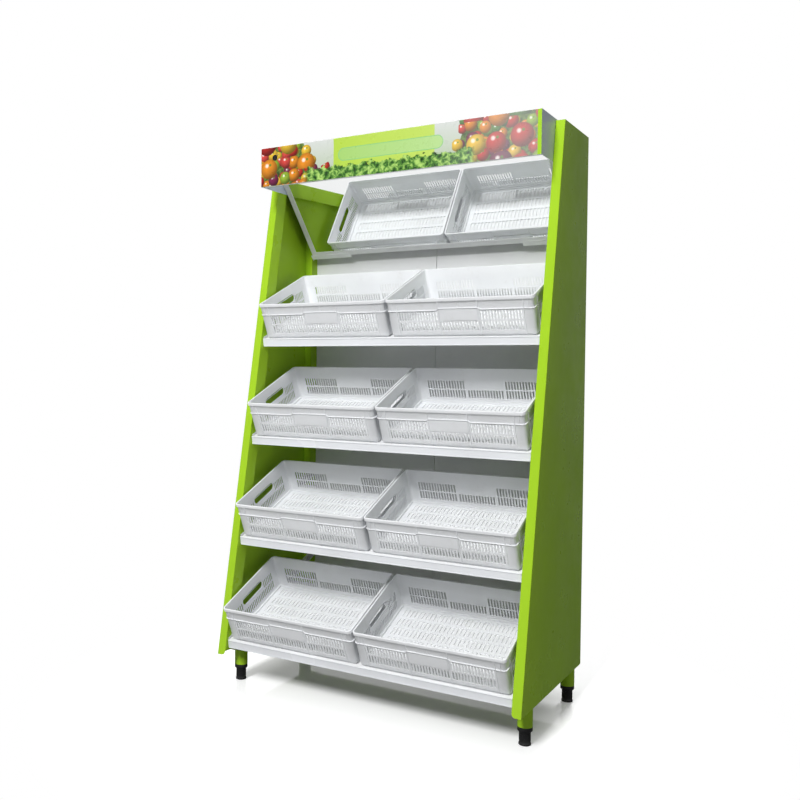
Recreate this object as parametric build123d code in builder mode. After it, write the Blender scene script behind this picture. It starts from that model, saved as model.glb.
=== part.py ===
from build123d import *
import math
import os

# Market crate stand: two sloping side panels, four tilted trays with two produce crates each, a tilted
# mirror, a printed header with a lamp, and four legs with levelling feet. Millimetres, +Z up, front to
# -Y, origin on the floor under the middle of the stand. Reach is a distance in front of the stand's
# rear plane. On a tray, v runs back along the tray from the crates' front and w rises square to it.
# The stand is sized around its crates, from the floor up and from the back panel forward.

# Produce crates
crate_length = 556.0
crate_depth = 360.0
crate_height = 145.0
crate_gap = 4.0
crate_side_gap = 9.0
crate_rear_clearance = 12.0
crate_seat_gap = 0.3
crate_wall = 2.5
crate_skin_inset = 4.0
crate_corner = 24.0
crate_foot_height = 8.0
crate_foot_inset = 10.0
crate_floor_rise = 3.0
crate_rim_height = 12.0
crate_rib = 2.5
crate_rib_stand = 3.0
crate_rib_inset = 41.0
crate_end_rib_inset = 38.0
crate_ledge_height = 98.5
crate_ledge = 3.0
label_rib_offset = 74.0
label_rib_gap = 3.0
label_height = 44.0
label_bottom = 60.0
label_stand = 2.5
slot_width = 5.5
slot_pitch = 11.0
slot_margin = 8.0
slot_upper_bottom = 62.0
slot_lower_bottom = 24.0
slot_height = 32.0
hand_hole_length = 136.0
hand_hole_height = 30.0
hand_hole_bottom = 76.0
floor_slot_width = 14.0
floor_slot_length = 60.0
floor_slot_pitch = 41.0
floor_row_pitch = 84.0
floor_slot_margin = 40.0

# Sheet metal and side panels
sheet = 1.5
panel_lean = 10.522
panel_flange = 33.0
panel_lip_depth = 61.0
panel_edge_radius = 6.0
cut_overrun = 5.0

# Levelling feet, collars and legs
foot_height = 42.7
foot_radius = 20.5
foot_neck_radius = 18.4
foot_neck_flare = 0.8
foot_flare = 7.0
foot_gap = 0.3
stem_radius = 6.0
stem_length = 57.0
stem_clearance = 0.3
collar_height = 17.0
collar_chamfer = 4.0
collar_spigot = 20.0
collar_clearance = 0.1
leg_length = 62.0
leg_wall = 2.5
leg_front_inset = 43.4
leg_rear_inset = 73.0

# Frame behind the panels
rail_width = 50.0
rail_height = 30.0
rail_lip_gap = 5.0
bar_depth = 30.0
tube_wall = 2.0
upright_depth = 45.0
upright_rear_reach = 10.0

# Trays and their arms
tray_count = 4
tray_tilt = 23.65
tray_pitch = 384.4
tray_setback = 19.0
tray_wall_gap = 54.5
tray_side_gap = 1.0
tray_rear_upstand = 25.0
tray_side_upstand = 10.0
tray_stop_height = 4.5
tray_stop_inset = 2.0
lip_ledge = 5.0
lip_lean = 7.5
lip_drop = 25.0
lip_return = 10.0
arm_width = 16.0
arm_height = 22.5
arm_start = 6.0
arm_rear_gap = 2.0
arm_rail_gap = 2.8

# Price rail on the tray's lip
price_rail_wall = 1.0
price_rail_depth = 3.0
price_rail_hook = 4.0
price_rail_end_gap = 3.0

# Back panels
back_pan_depth = 8.0
back_side_margin = 3.0
back_end_margin = 2.0
back_seam_gap = 1.0
seam_strip_width = 40.0

# Mirror
mirror_tilt = 49.0
mirror_height = 410.0
mirror_crate_gap = 92.2
mirror_top_gap = 68.3
mirror_screw_gap = 0.5
mirror_below = 5.0
mirror_rail = 22.0
mirror_rail_wall = 2.0
mirror_rail_depth = 13.0
glass_thickness = 4.0
glass_inset = 3.0
backing_thickness = 3.0
bracket_length = 187.0
bracket_shelf = 25.0
bracket_face = 20.0
bracket_overlap = 9.0
bracket_tab = 17.5
bracket_tab_depth = 40.0
bracket_screw_drop = 9.0
bracket_screw_inset = 11.0

# Header
header_height = 151.0
header_rise = 6.0
header_mirror_gap = 111.3
header_overlap = 11.0
header_end_overlap = 41.0
header_side_gap = 0.5
header_bottom_lip = 12.0
header_rear_lip = 20.0
header_screw_low = 34.0
header_screw_high = 37.0
print_thickness = 1.0
print_margin = 1.0

# Lamp
lamp_setback = 52.0
lamp_tube_length = 895.0
lamp_tube_radius = 13.0
lamp_tube_drop = 57.0
lamp_housing_depth = 50.0
lamp_housing_height = 32.0
lamp_housing_bevel = 10.0
lamp_housing_margin = 2.0
lampholder_length = 20.0
lampholder_width = 26.0
lampholder_overlap = 17.0
lamp_pin_clearance = 0.5

# Switch
switch_side_inset = 65.0
switch_drop = 42.0
switch_bezel_radius = 11.0
switch_bezel_bevel = 0.8
switch_body_radius = 9.8
switch_bezel_stand = 2.0
switch_body_depth = 18.0
switch_hole_clearance = 0.2
rocker_radius = 7.0
rocker_height = 10.0
rocker_pivot_depth = 4.0
rocker_face = 4.5
rocker_throw = 16.0
rocker_clearance = 0.4
rocker_pocket_depth = 12.5

# Top cover, grommet and screws
cover_front_gap = 0.5
cover_front_lip = 12.0
grommet_side_inset = 85.0
grommet_reach = 100.0
grommet_radius = 12.0
grommet_bevel = 1.0
grommet_neck = 8.0
grommet_bore = 4.0
grommet_stand = 2.0
grommet_membrane = 1.0
screw_head_radius = 5.5
screw_head_height = 3.5
screw_radius = 2.9
screw_length = 9.0
screw_clearance = 0.3
arm_screw_pitch = 20.0
arm_screw_inset = 12.0
back_screw_head = 2.2
back_screw_rows = 7
back_screw_margin = 60.0
back_bar_screws = 3

# Worked out from the sizes above: width, and the stack from the floor up
tilt = math.radians(tray_tilt)
panel_slope = math.tan(math.radians(panel_lean))
lip_x = crate_gap / 2 + crate_length + crate_side_gap
outer_x = lip_x + panel_flange
skin_x = outer_x - sheet
rail_x = skin_x - rail_width
leg_x = skin_x - rail_width / 2
tray_half = lip_x - tray_side_gap
collar_bottom = foot_height + foot_gap
leg_bottom = collar_bottom + collar_height
panel_bottom = leg_bottom + leg_length
rail_top = panel_bottom + rail_height
arm_bottom = -sheet - arm_height
arm_drop = -arm_bottom * math.cos(tilt) - arm_start * math.sin(tilt)
lowest_tray_height = rail_top + arm_rail_gap + arm_drop
tray_back = crate_depth + crate_rear_clearance
upright_front_reach = upright_rear_reach + upright_depth


def tray_height(tier):
    """Height of the crates' front bottom edge on a tier, counted from the top."""
    return lowest_tray_height + (tray_count - tier) * tray_pitch


top_tray_reach = upright_rear_reach + tray_wall_gap + tray_back * math.cos(tilt)


def panel_reach(height):
    """Reach of the side panel's front edge at a height."""
    return top_tray_reach + tray_setback + (tray_height(1) - height) * panel_slope


def tray_reach(tier):
    """Reach of the crates' front bottom edge on a tier."""
    return panel_reach(tray_height(tier)) - tray_setback


stand_depth = tray_reach(tray_count) + (crate_height + crate_seat_gap) * math.sin(tilt)
rear_y = stand_depth / 2

# The mirror clears the top crates, and the header takes in the mirror's upper edge
mirror_lean = math.radians(mirror_tilt)
crate_stack = crate_depth * math.sin(tilt) + crate_height * math.cos(tilt)
mirror_foot_height = tray_height(1) + crate_stack + mirror_crate_gap
mirror_foot_reach = upright_front_reach
mirror_top = mirror_height - mirror_below
panel_top = mirror_foot_height + mirror_top * math.sin(mirror_lean) + mirror_top_gap
frame_top = panel_top - sheet
header_half = lip_x - header_side_gap
header_end_x = header_half - sheet
header_top = panel_top + header_rise
header_bottom = header_top - header_height
header_reach = mirror_foot_reach + mirror_top * math.cos(mirror_lean) + header_mirror_gap
header_back_reach = panel_reach(panel_top) - header_overlap
header_end_back_reach = panel_reach(panel_top) - header_end_overlap
print_reach = header_reach + print_thickness
lamp_reach = header_reach - lamp_setback
mirror_half = header_end_x - screw_head_height - mirror_screw_gap
switch_x = switch_side_inset - header_half
switch_z = header_top - switch_drop


def y_at(reach):
    """Y coordinate of a reach."""
    return rear_y - reach


def tray_point(tier, v, w):
    """Y and Z of a point on a tray's side view."""
    back = v * math.cos(tilt) - w * math.sin(tilt)
    return y_at(tray_reach(tier)) + back, tray_height(tier) + v * math.sin(tilt) + w * math.cos(tilt)


def tray_section_plane(tier):
    """Side view of a tray: local X is v, local Y is w, and the normal is +X."""
    origin = (0, y_at(tray_reach(tier)), tray_height(tier))
    return Plane(origin=origin, x_dir=(0, math.cos(tilt), math.sin(tilt)), z_dir=(1, 0, 0))


def arm_section_plane(tier, v):
    """Cross section of a tray's arms at v: local Y is w."""
    y, z = tray_point(tier, v, 0)
    return Plane(origin=(0, y, z), x_dir=(-1, 0, 0), z_dir=(0, math.cos(tilt), math.sin(tilt)))


def left_normal(start, end):
    """Unit vector to the left of the way from start to end."""
    run = math.dist(start, end)
    return (start[1] - end[1]) / run, (end[0] - start[0]) / run


def sheet_outline(path, thickness):
    """Outline of a folded sheet: one face on the path, the other to its left, with mitred folds."""
    normals = [left_normal(start, end) for start, end in zip(path, path[1:])]
    other_face = []
    for (x, y), before, after in zip(path, normals[:1] + normals, normals + normals[-1:]):
        reach = thickness / (1 + before[0] * after[0] + before[1] * after[1])
        other_face.append((x + reach * (before[0] + after[0]), y + reach * (before[1] + after[1])))
    return list(path) + other_face[::-1]


def extrude_outline(plane, points, amount, mode=Mode.ADD, both=False):
    """Extrude a closed outline drawn on a plane."""
    with BuildSketch(plane) as outline:
        with BuildLine():
            Polyline(*points, close=True)
        make_face()
    extrude(outline.sketch, amount=amount, mode=mode, both=both)


def block(x_range, reach_range, z_range, mode=Mode.ADD):
    """Box between two X, two reaches and two heights."""
    centre = (sum(x_range) / 2, y_at(sum(reach_range) / 2), sum(z_range) / 2)
    size = [abs(ends[1] - ends[0]) for ends in (x_range, reach_range, z_range)]
    with Locations(centre):
        Box(*size, mode=mode)


def write_step(builder, name):
    """Label a finished piece and write it."""
    builder.part.label = name
    export_step(builder.part, "parts/" + name + ".step")


os.makedirs("parts", exist_ok=True)

# Screw places, as (Y, Z) on the planes where the screws run along X
arm_screw_w = -sheet - arm_height / 2


def arm_end(tier):
    """Where an arm ends along v, just in front of the back panel."""
    drop = arm_bottom * math.sin(tilt)
    return (tray_reach(tier) + drop - upright_rear_reach - arm_rear_gap) / math.cos(tilt)


def arm_rear_screws(tier):
    """Two screws into the upright."""
    last = arm_end(tier) - arm_screw_inset
    return [tray_point(tier, v, arm_screw_w) for v in (last - arm_screw_pitch, last)]


def arm_front_screw(tier):
    """One screw into the side panel's return lip."""
    return tray_point(tier, arm_start + arm_screw_pitch, arm_screw_w)


def header_screw(height):
    """Screw through a header end and the panel's lip."""
    return y_at(panel_reach(height) - panel_lip_depth / 2), height


tiers = range(1, tray_count + 1)
header_screw_heights = (header_bottom + header_screw_low, header_top - header_screw_high)
header_screws_at = [header_screw(height) for height in header_screw_heights]
lip_screws_at = [arm_front_screw(tier) for tier in tiers] + header_screws_at

mirror_origin = (0, y_at(mirror_foot_reach), mirror_foot_height)
mirror_plane = Plane(
    origin=mirror_origin, x_dir=(1, 0, 0), z_dir=(0, -math.sin(mirror_lean), -math.cos(mirror_lean))
)


def mirror_point(up, out):
    """Y and Z of a point up the mirror and out from its face."""
    point = mirror_plane.from_local_coords(Vector(0, up, out))
    return point.Y, point.Z


bracket_screw_at = mirror_point(-mirror_below - bracket_screw_drop, bracket_screw_inset - bracket_tab_depth)
upright_screws_at = [point for tier in tiers for point in arm_rear_screws(tier)] + [bracket_screw_at]


def drill_along_x(points, x_start, x_end, radius):
    """Holes along X at (Y, Z) places."""
    for y, z in points:
        with Locations(Location(((x_start + x_end) / 2, y, z), (0, 90, 0))):
            Cylinder(radius, abs(x_end - x_start), mode=Mode.SUBTRACT)


def side_screws(points, face_x):
    """Screws along X on both sides of the stand, with their heads on the inner side of face_x."""
    for side in (-1, 1):
        for y, z in points:
            with Locations(Location((side * face_x, y, z), (0, side * 90, 0))):
                Cylinder(screw_head_radius, screw_head_height, align=(Align.CENTER, Align.CENTER, Align.MAX))
                Cylinder(screw_radius, screw_length, align=(Align.CENTER, Align.CENTER, Align.MIN))


# Side panels: one folded tray of sheet each, open at the bottom and towards the inside
def panel_outline(inset, bottom):
    """Side view of the panel, drawn in by the inset at the front, back and top."""
    front_inset = inset * math.hypot(1, panel_slope)
    top = panel_top - inset
    return [
        (y_at(inset), bottom),
        (y_at(panel_reach(bottom) - front_inset), bottom),
        (y_at(panel_reach(top) - front_inset), top),
        (y_at(inset), top),
    ]


def front_outer_edge(builder):
    """The long sloping edge at the panel's outer front corner."""
    return builder.edges().group_by(Axis.X)[-1].sort_by(Axis.Y)[0]


with BuildPart() as panel_pocket:
    pocket_outline = panel_outline(sheet, panel_bottom - cut_overrun)
    extrude_outline(Plane.YZ.offset(lip_x + sheet), pocket_outline, panel_flange - 2 * sheet)
    fillet(front_outer_edge(panel_pocket), panel_edge_radius - sheet)

window_bottom = panel_bottom - cut_overrun
window_top = panel_top - sheet
with BuildPart() as side_panel_right:
    extrude_outline(Plane.YZ.offset(lip_x), panel_outline(0, panel_bottom), panel_flange)
    fillet(front_outer_edge(side_panel_right), panel_edge_radius)
    add(panel_pocket.part, mode=Mode.SUBTRACT)
    extrude_outline(
        Plane.YZ.offset(lip_x),
        [
            (y_at(sheet), window_bottom),
            (y_at(panel_reach(window_bottom) - panel_lip_depth), window_bottom),
            (y_at(panel_reach(window_top) - panel_lip_depth), window_top),
            (y_at(sheet), window_top),
        ],
        sheet,
        mode=Mode.SUBTRACT,
    )
    drill_along_x(lip_screws_at, lip_x - 1, lip_x + sheet + 1, screw_radius + screw_clearance)
write_step(side_panel_right, "side_panel_right")

with BuildPart() as side_panel_left:
    mirror(side_panel_right.part, about=Plane.YZ)
write_step(side_panel_left, "side_panel_left")

# Uprights: posts of tube that stand on the base rails, inside the panels
back_low = rail_top + back_end_margin
back_high = frame_top - back_end_margin
back_screw_step = (back_high - back_low - 2 * back_screw_margin) / (back_screw_rows - 1)
back_screw_heights = [back_low + back_screw_margin + row * back_screw_step for row in range(back_screw_rows)]
back_screw_x = (lip_x + skin_x) / 2
bar_screw_z = frame_top - rail_height / 2
back_screws_at = [(side * back_screw_x, z) for side in (-1, 1) for z in back_screw_heights]
bar_screw_step = lip_x / back_bar_screws
bar_screws_x = [(place + 0.5) * bar_screw_step for place in range(back_bar_screws)]
back_screws_at += [(side * x, bar_screw_z) for side in (-1, 1) for x in bar_screws_x]


def drill_from_behind(front_reach):
    """Holes for the back panels' screws, from the rear plane to a reach."""
    for x, z in back_screws_at:
        with Locations(Location((x, y_at(front_reach / 2), z), (90, 0, 0))):
            Cylinder(screw_radius + screw_clearance, front_reach, mode=Mode.SUBTRACT)


with BuildPart() as upright_right:
    block((lip_x, skin_x), (upright_rear_reach, upright_front_reach), (rail_top, frame_top))
    block(
        (lip_x + tube_wall, skin_x - tube_wall),
        (upright_rear_reach + tube_wall, upright_front_reach - tube_wall),
        (rail_top - 1, frame_top + 1),
        mode=Mode.SUBTRACT,
    )
    drill_along_x(upright_screws_at, lip_x - 1, lip_x + tube_wall + 1, screw_radius + screw_clearance)
    drill_from_behind(upright_rear_reach + tube_wall + 1)
write_step(upright_right, "upright_right")

with BuildPart() as upright_left:
    mirror(upright_right.part, about=Plane.YZ)
write_step(upright_left, "upright_left")

# Base frame and top bar
rail_front_reach = panel_reach(rail_top) - panel_lip_depth - rail_lip_gap
with BuildPart() as base_rail_right:
    block((rail_x, skin_x), (sheet, rail_front_reach), (panel_bottom, rail_top))
    block(
        (rail_x + tube_wall, skin_x - tube_wall),
        (0, rail_front_reach + 1),
        (panel_bottom + tube_wall, rail_top - tube_wall),
        mode=Mode.SUBTRACT,
    )
write_step(base_rail_right, "base_rail_right")

with BuildPart() as base_rail_left:
    mirror(base_rail_right.part, about=Plane.YZ)
write_step(base_rail_left, "base_rail_left")


def cross_bar(half_length, rear_reach, low):
    """Square tube across the stand."""
    high = low + rail_height
    block((-half_length, half_length), (rear_reach, rear_reach + bar_depth), (low, high))
    block(
        (-half_length - 1, half_length + 1),
        (rear_reach + tube_wall, rear_reach + bar_depth - tube_wall),
        (low + tube_wall, high - tube_wall),
        mode=Mode.SUBTRACT,
    )


leg_front_reach = rail_front_reach - leg_front_inset
with BuildPart() as base_crossbar_front:
    cross_bar(rail_x, leg_front_reach - bar_depth / 2, panel_bottom)
write_step(base_crossbar_front, "base_crossbar_front")

with BuildPart() as base_crossbar_rear:
    cross_bar(rail_x, upright_rear_reach, panel_bottom)
write_step(base_crossbar_rear, "base_crossbar_rear")

with BuildPart() as top_crossbar:
    cross_bar(lip_x, upright_rear_reach, frame_top - rail_height)
    drill_from_behind(upright_rear_reach + tube_wall + 1)
write_step(top_crossbar, "top_crossbar")

# Legs, collars and levelling feet
leg_radius = rail_width / 2
leg_places = {
    "front_left": (-leg_x, y_at(leg_front_reach)),
    "front_right": (leg_x, y_at(leg_front_reach)),
    "rear_left": (-leg_x, y_at(leg_rear_inset)),
    "rear_right": (leg_x, y_at(leg_rear_inset)),
}
for place, (x, y) in leg_places.items():
    with BuildPart() as leg:
        with BuildSketch(Plane.XY.offset(leg_bottom)):
            with Locations((x, y)):
                Circle(leg_radius)
                Circle(leg_radius - leg_wall, mode=Mode.SUBTRACT)
        extrude(amount=leg_length)
    write_step(leg, "leg_" + place)

spigot_radius = leg_radius - leg_wall - collar_clearance
with BuildPart() as leg_collars:
    for x, y in leg_places.values():
        with BuildSketch(Plane(origin=(x, y, 0), x_dir=(1, 0, 0), z_dir=(0, -1, 0))):
            with BuildLine():
                Polyline(
                    (stem_radius + stem_clearance, collar_bottom),
                    (leg_radius - collar_chamfer, collar_bottom),
                    (leg_radius, collar_bottom + collar_chamfer),
                    (leg_radius, leg_bottom),
                    (spigot_radius, leg_bottom),
                    (spigot_radius, leg_bottom + collar_spigot),
                    (stem_radius + stem_clearance, leg_bottom + collar_spigot),
                    close=True,
                )
            make_face()
        revolve(axis=Axis((x, y, 0), (0, 0, 1)))
write_step(leg_collars, "leg_collars")

for place, (x, y) in leg_places.items():
    with BuildPart() as levelling_foot:
        with BuildSketch(Plane(origin=(x, y, 0), x_dir=(1, 0, 0), z_dir=(0, -1, 0))):
            with BuildLine():
                Polyline(
                    (0, 0),
                    (foot_radius - 1, 0),
                    (foot_radius, 1),
                    (foot_radius, foot_flare - 2),
                    (foot_neck_radius, foot_flare + 2),
                    (foot_neck_radius + foot_neck_flare, foot_height),
                    (stem_radius, foot_height),
                    (stem_radius, foot_height + stem_length),
                    (0, foot_height + stem_length),
                    close=True,
                )
            make_face()
        revolve(axis=Axis((x, y, 0), (0, 0, 1)))
    write_step(levelling_foot, "levelling_foot_" + place)

# Trays: folded sheet with a crate stop and a front lip, seen from the side in v and w
stop_v = -tray_stop_inset
lip_top = (stop_v - lip_ledge, tray_stop_height)
lip_foot = (lip_top[0] - lip_lean, -lip_drop)
tray_path = [
    (tray_back, tray_rear_upstand),
    (tray_back, 0),
    (stop_v, 0),
    (stop_v, tray_stop_height),
    lip_top,
    lip_foot,
    (lip_foot[0] + lip_return, -lip_drop),
]
lip_length = math.dist(lip_top, lip_foot)
lip_down = ((lip_foot[0] - lip_top[0]) / lip_length, (lip_foot[1] - lip_top[1]) / lip_length)
lip_out = (lip_down[1], -lip_down[0])


def lip_point(down, out):
    """Point on the tray's side view, down the lip's face and out from it."""
    return (
        lip_top[0] + lip_down[0] * down + lip_out[0] * out,
        lip_top[1] + lip_down[1] * down + lip_out[1] * out,
    )


price_rail_path = [
    lip_point(lip_length - price_rail_hook, price_rail_depth),
    lip_point(lip_length, price_rail_depth),
    lip_point(lip_length, 0),
    lip_point(0, 0),
    lip_point(0, price_rail_depth),
    lip_point(price_rail_hook, price_rail_depth),
]

for tier in tiers:
    section = tray_section_plane(tier)
    with BuildPart() as shelf_tray:
        extrude_outline(section, sheet_outline(tray_path, sheet), tray_half, both=True)
        for side in (-1, 1):
            flange_x = side * (tray_half - sheet / 2)
            with BuildSketch(section.offset(flange_x - sheet / 2)):
                with Locations(((tray_back + stop_v) / 2, tray_side_upstand / 2)):
                    Rectangle(tray_back - stop_v, tray_side_upstand)
            extrude(amount=sheet)
    write_step(shelf_tray, "shelf_tray_" + str(tier))

    with BuildPart() as price_rail:
        rail_outline = sheet_outline(price_rail_path, price_rail_wall)
        extrude_outline(section, rail_outline, tray_half - price_rail_end_gap, both=True)
    write_step(price_rail, "price_rail_" + str(tier))

    arm_length = arm_end(tier) - arm_start
    with BuildPart() as tray_arms:
        for side in (-1, 1):
            web = side * lip_x
            toe = side * (lip_x - arm_width)
            arm_path = [(toe, -sheet), (web, -sheet), (web, arm_bottom), (toe, arm_bottom)]
            arm_outline = sheet_outline(arm_path, -side * sheet)
            extrude_outline(arm_section_plane(tier, arm_start), arm_outline, arm_length)
        arm_points = arm_rear_screws(tier) + [arm_front_screw(tier)]
        for side in (-1, 1):
            ends = sorted((side * (lip_x - sheet - 1), side * (lip_x + 1)))
            drill_along_x(arm_points, ends[0], ends[1], screw_radius + screw_clearance)
    write_step(tray_arms, "tray_arms_" + str(tier))

# Produce crate, drawn with its front left bottom corner at the origin
crate_centre = (crate_length / 2, crate_depth / 2)
crate_inner = crate_skin_inset + crate_wall


def crate_ring(low, high, outer_inset, inner_inset=None, mode=Mode.ADD):
    """Rounded frame or plate between two heights, drawn in from the crate's outline by insets."""
    with BuildSketch(Plane.XY.offset(low)) as ring:
        with Locations(crate_centre):
            RectangleRounded(
                crate_length - 2 * outer_inset, crate_depth - 2 * outer_inset, crate_corner - outer_inset
            )
            if inner_inset is not None:
                RectangleRounded(
                    crate_length - 2 * inner_inset,
                    crate_depth - 2 * inner_inset,
                    crate_corner - inner_inset,
                    mode=Mode.SUBTRACT,
                )
    extrude(ring.sketch, amount=high - low, mode=mode)


def crate_cuts(places, size):
    """Boxes taken out of the crate at many places."""
    with Locations(*places):
        Box(*size, mode=Mode.SUBTRACT)



def slots_between(start, end):
    """Middles of evenly pitched slots between two ribs."""
    count = int((end - start - 2 * slot_margin) / slot_pitch) + 1
    first = (start + end - (count - 1) * slot_pitch) / 2
    return [first + index * slot_pitch for index in range(count)]


def spread_between(start, end, pitch):
    """Middles of evenly spread places with at least a pitch between them."""
    count = int((end - start) / pitch) + 1
    step = (end - start) / max(count - 1, 1)
    return [start + index * step for index in range(count)]


crate_middle = crate_length / 2
long_ribs = [
    crate_rib_inset,
    crate_middle - label_rib_offset,
    crate_middle + label_rib_offset,
    crate_length - crate_rib_inset,
]
end_ribs = [crate_end_rib_inset, crate_depth - crate_end_rib_inset]
hole_start = (crate_depth - hand_hole_length) / 2
long_upper = slots_between(long_ribs[0], long_ribs[1]) + slots_between(long_ribs[2], long_ribs[3])
long_lower = long_upper + slots_between(long_ribs[1], long_ribs[2])
end_upper = slots_between(end_ribs[0], hole_start) + slots_between(crate_depth - hole_start, end_ribs[1])
end_lower = slots_between(end_ribs[0], end_ribs[1])
floor_columns = spread_between(floor_slot_margin, crate_length - floor_slot_margin, floor_slot_pitch)
floor_edge = floor_slot_margin + floor_slot_length / 2
floor_rows = spread_between(floor_edge, crate_depth - floor_edge, floor_row_pitch)
label_width = 2 * (label_rib_offset - label_rib_gap)
upper_z = slot_upper_bottom + slot_height / 2
lower_z = slot_lower_bottom + slot_height / 2
rim_bottom = crate_height - crate_rim_height
through = 4 * crate_skin_inset
with BuildPart() as crate_blank:
    crate_ring(0, crate_foot_height, crate_foot_inset)
    crate_ring(crate_foot_height, crate_height, crate_skin_inset)
    crate_ring(rim_bottom, crate_height, 0)
    crate_ring(crate_ledge_height, crate_ledge_height + crate_ledge, crate_skin_inset - crate_rib_stand)
    rib_z = (crate_foot_height + rim_bottom) / 2
    for y in (crate_skin_inset, crate_depth - crate_skin_inset):
        with Locations(*[(x, y, rib_z) for x in long_ribs]):
            Box(crate_rib, 2 * crate_rib_stand, rim_bottom - crate_foot_height)
        with Locations((crate_middle, y, label_bottom + label_height / 2)):
            Box(label_width, 2 * label_stand, label_height)
    for x in (crate_skin_inset, crate_length - crate_skin_inset):
        with Locations(*[(x, y, rib_z) for y in end_ribs]):
            Box(2 * crate_rib_stand, crate_rib, rim_bottom - crate_foot_height)
    crate_ring(crate_foot_height + crate_wall, crate_height + 1, crate_inner, mode=Mode.SUBTRACT)
    foot_inner = crate_foot_inset + crate_wall
    crate_ring(crate_floor_rise, crate_foot_height + crate_wall + 1, foot_inner, mode=Mode.SUBTRACT)
    for y in (crate_inner / 2, crate_depth - crate_inner / 2):
        crate_cuts([(x, y, upper_z) for x in long_upper], (slot_width, through, slot_height))
        crate_cuts([(x, y, lower_z) for x in long_lower], (slot_width, through, slot_height))
    for x in (crate_inner / 2, crate_length - crate_inner / 2):
        crate_cuts([(x, y, lower_z) for y in end_lower], (through, slot_width, slot_height))
        crate_cuts([(x, y, upper_z) for y in end_upper], (through, slot_width, slot_height))
        with BuildSketch(Plane.YZ.offset(x - through / 2)):
            with Locations((crate_depth / 2, hand_hole_bottom + hand_hole_height / 2)):
                SlotOverall(hand_hole_length, hand_hole_height)
        extrude(amount=through, mode=Mode.SUBTRACT)
    floor_places = [(x, y, crate_floor_rise / 2) for x in floor_columns for y in floor_rows]
    crate_cuts(floor_places, (floor_slot_width, floor_slot_length, 2 * crate_floor_rise))

crate_left_edges = {"left": -crate_gap / 2 - crate_length, "right": crate_gap / 2}
for tier in tiers:
    for side, left_x in crate_left_edges.items():
        y, z = tray_point(tier, 0, crate_seat_gap)
        seat = Plane(origin=(left_x, y, z), x_dir=(1, 0, 0), z_dir=(0, -math.sin(tilt), math.cos(tilt)))
        with BuildPart() as crate:
            add(crate_blank.part.moved(seat.location))
        write_step(crate, "crate_" + str(tier) + "_" + side)

# Back panels: shallow pans whose front faces meet at a seam in the middle
back_outer_x = skin_x - back_side_margin
back_rear_reach = upright_rear_reach - back_pan_depth
with BuildPart() as back_panel_right:
    block((back_seam_gap, back_outer_x), (back_rear_reach, upright_rear_reach), (back_low, back_high))
    block(
        (back_seam_gap + sheet, back_outer_x - sheet),
        (back_rear_reach - 1, upright_rear_reach - sheet),
        (back_low + sheet, back_high - sheet),
        mode=Mode.SUBTRACT,
    )
    drill_from_behind(upright_rear_reach + 1)
write_step(back_panel_right, "back_panel_right")

with BuildPart() as back_panel_left:
    mirror(back_panel_right.part, about=Plane.YZ)
write_step(back_panel_left, "back_panel_left")

half_strip = seam_strip_width / 2
with BuildPart() as back_seam_strip:
    block((-half_strip, half_strip), (back_rear_reach - sheet, back_rear_reach), (back_low, back_high))
write_step(back_seam_strip, "back_seam_strip")

with BuildPart() as back_panel_screws:
    for x, z in back_screws_at:
        with Locations(Location((x, y_at(upright_rear_reach - sheet), z), (90, 0, 0))):
            Cylinder(screw_head_radius, back_screw_head, align=(Align.CENTER, Align.CENTER, Align.MAX))
            Cylinder(screw_radius, screw_length, align=(Align.CENTER, Align.CENTER, Align.MIN))
write_step(back_panel_screws, "back_panel_screws")

# Header: a folded cover open below, two ends and a printed front
header_path = [
    (y_at(header_back_reach), header_top - header_rear_lip),
    (y_at(header_back_reach), header_top),
    (y_at(header_reach), header_top),
    (y_at(header_reach), header_bottom),
    (y_at(header_reach - header_bottom_lip), header_bottom),
]
switch_hole = switch_body_radius + switch_hole_clearance
with BuildPart() as header_shell:
    extrude_outline(Plane.YZ, sheet_outline(header_path, sheet), header_end_x, both=True)
    with Locations(Location((switch_x, y_at(header_reach), switch_z), (90, 0, 0))):
        Cylinder(switch_hole, 4 * sheet, mode=Mode.SUBTRACT)
write_step(header_shell, "header_shell")

with BuildPart() as header_end_right:
    block((header_end_x, header_half), (header_end_back_reach, header_reach), (header_bottom, header_top))
    drill_along_x(header_screws_at, header_end_x - 1, header_half + 1, screw_radius + screw_clearance)
write_step(header_end_right, "header_end_right")

with BuildPart() as header_end_left:
    mirror(header_end_right.part, about=Plane.YZ)
write_step(header_end_left, "header_end_left")

with BuildPart() as fascia_print:
    block(
        (-header_half, header_half),
        (header_reach, print_reach),
        (header_bottom + print_margin, header_top - print_margin),
    )
    with Locations(Location((switch_x, y_at(header_reach), switch_z), (90, 0, 0))):
        Cylinder(switch_hole, 4 * sheet, mode=Mode.SUBTRACT)
write_step(fascia_print, "fascia_print")

with BuildPart() as header_screws:
    side_screws(header_screws_at, header_end_x)
    side_screws([bracket_screw_at], lip_x - sheet)
write_step(header_screws, "header_screws")

with BuildPart() as arm_screws:
    for tier in tiers:
        side_screws(arm_rear_screws(tier) + [arm_front_screw(tier)], lip_x - sheet)
write_step(arm_screws, "arm_screws")

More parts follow.
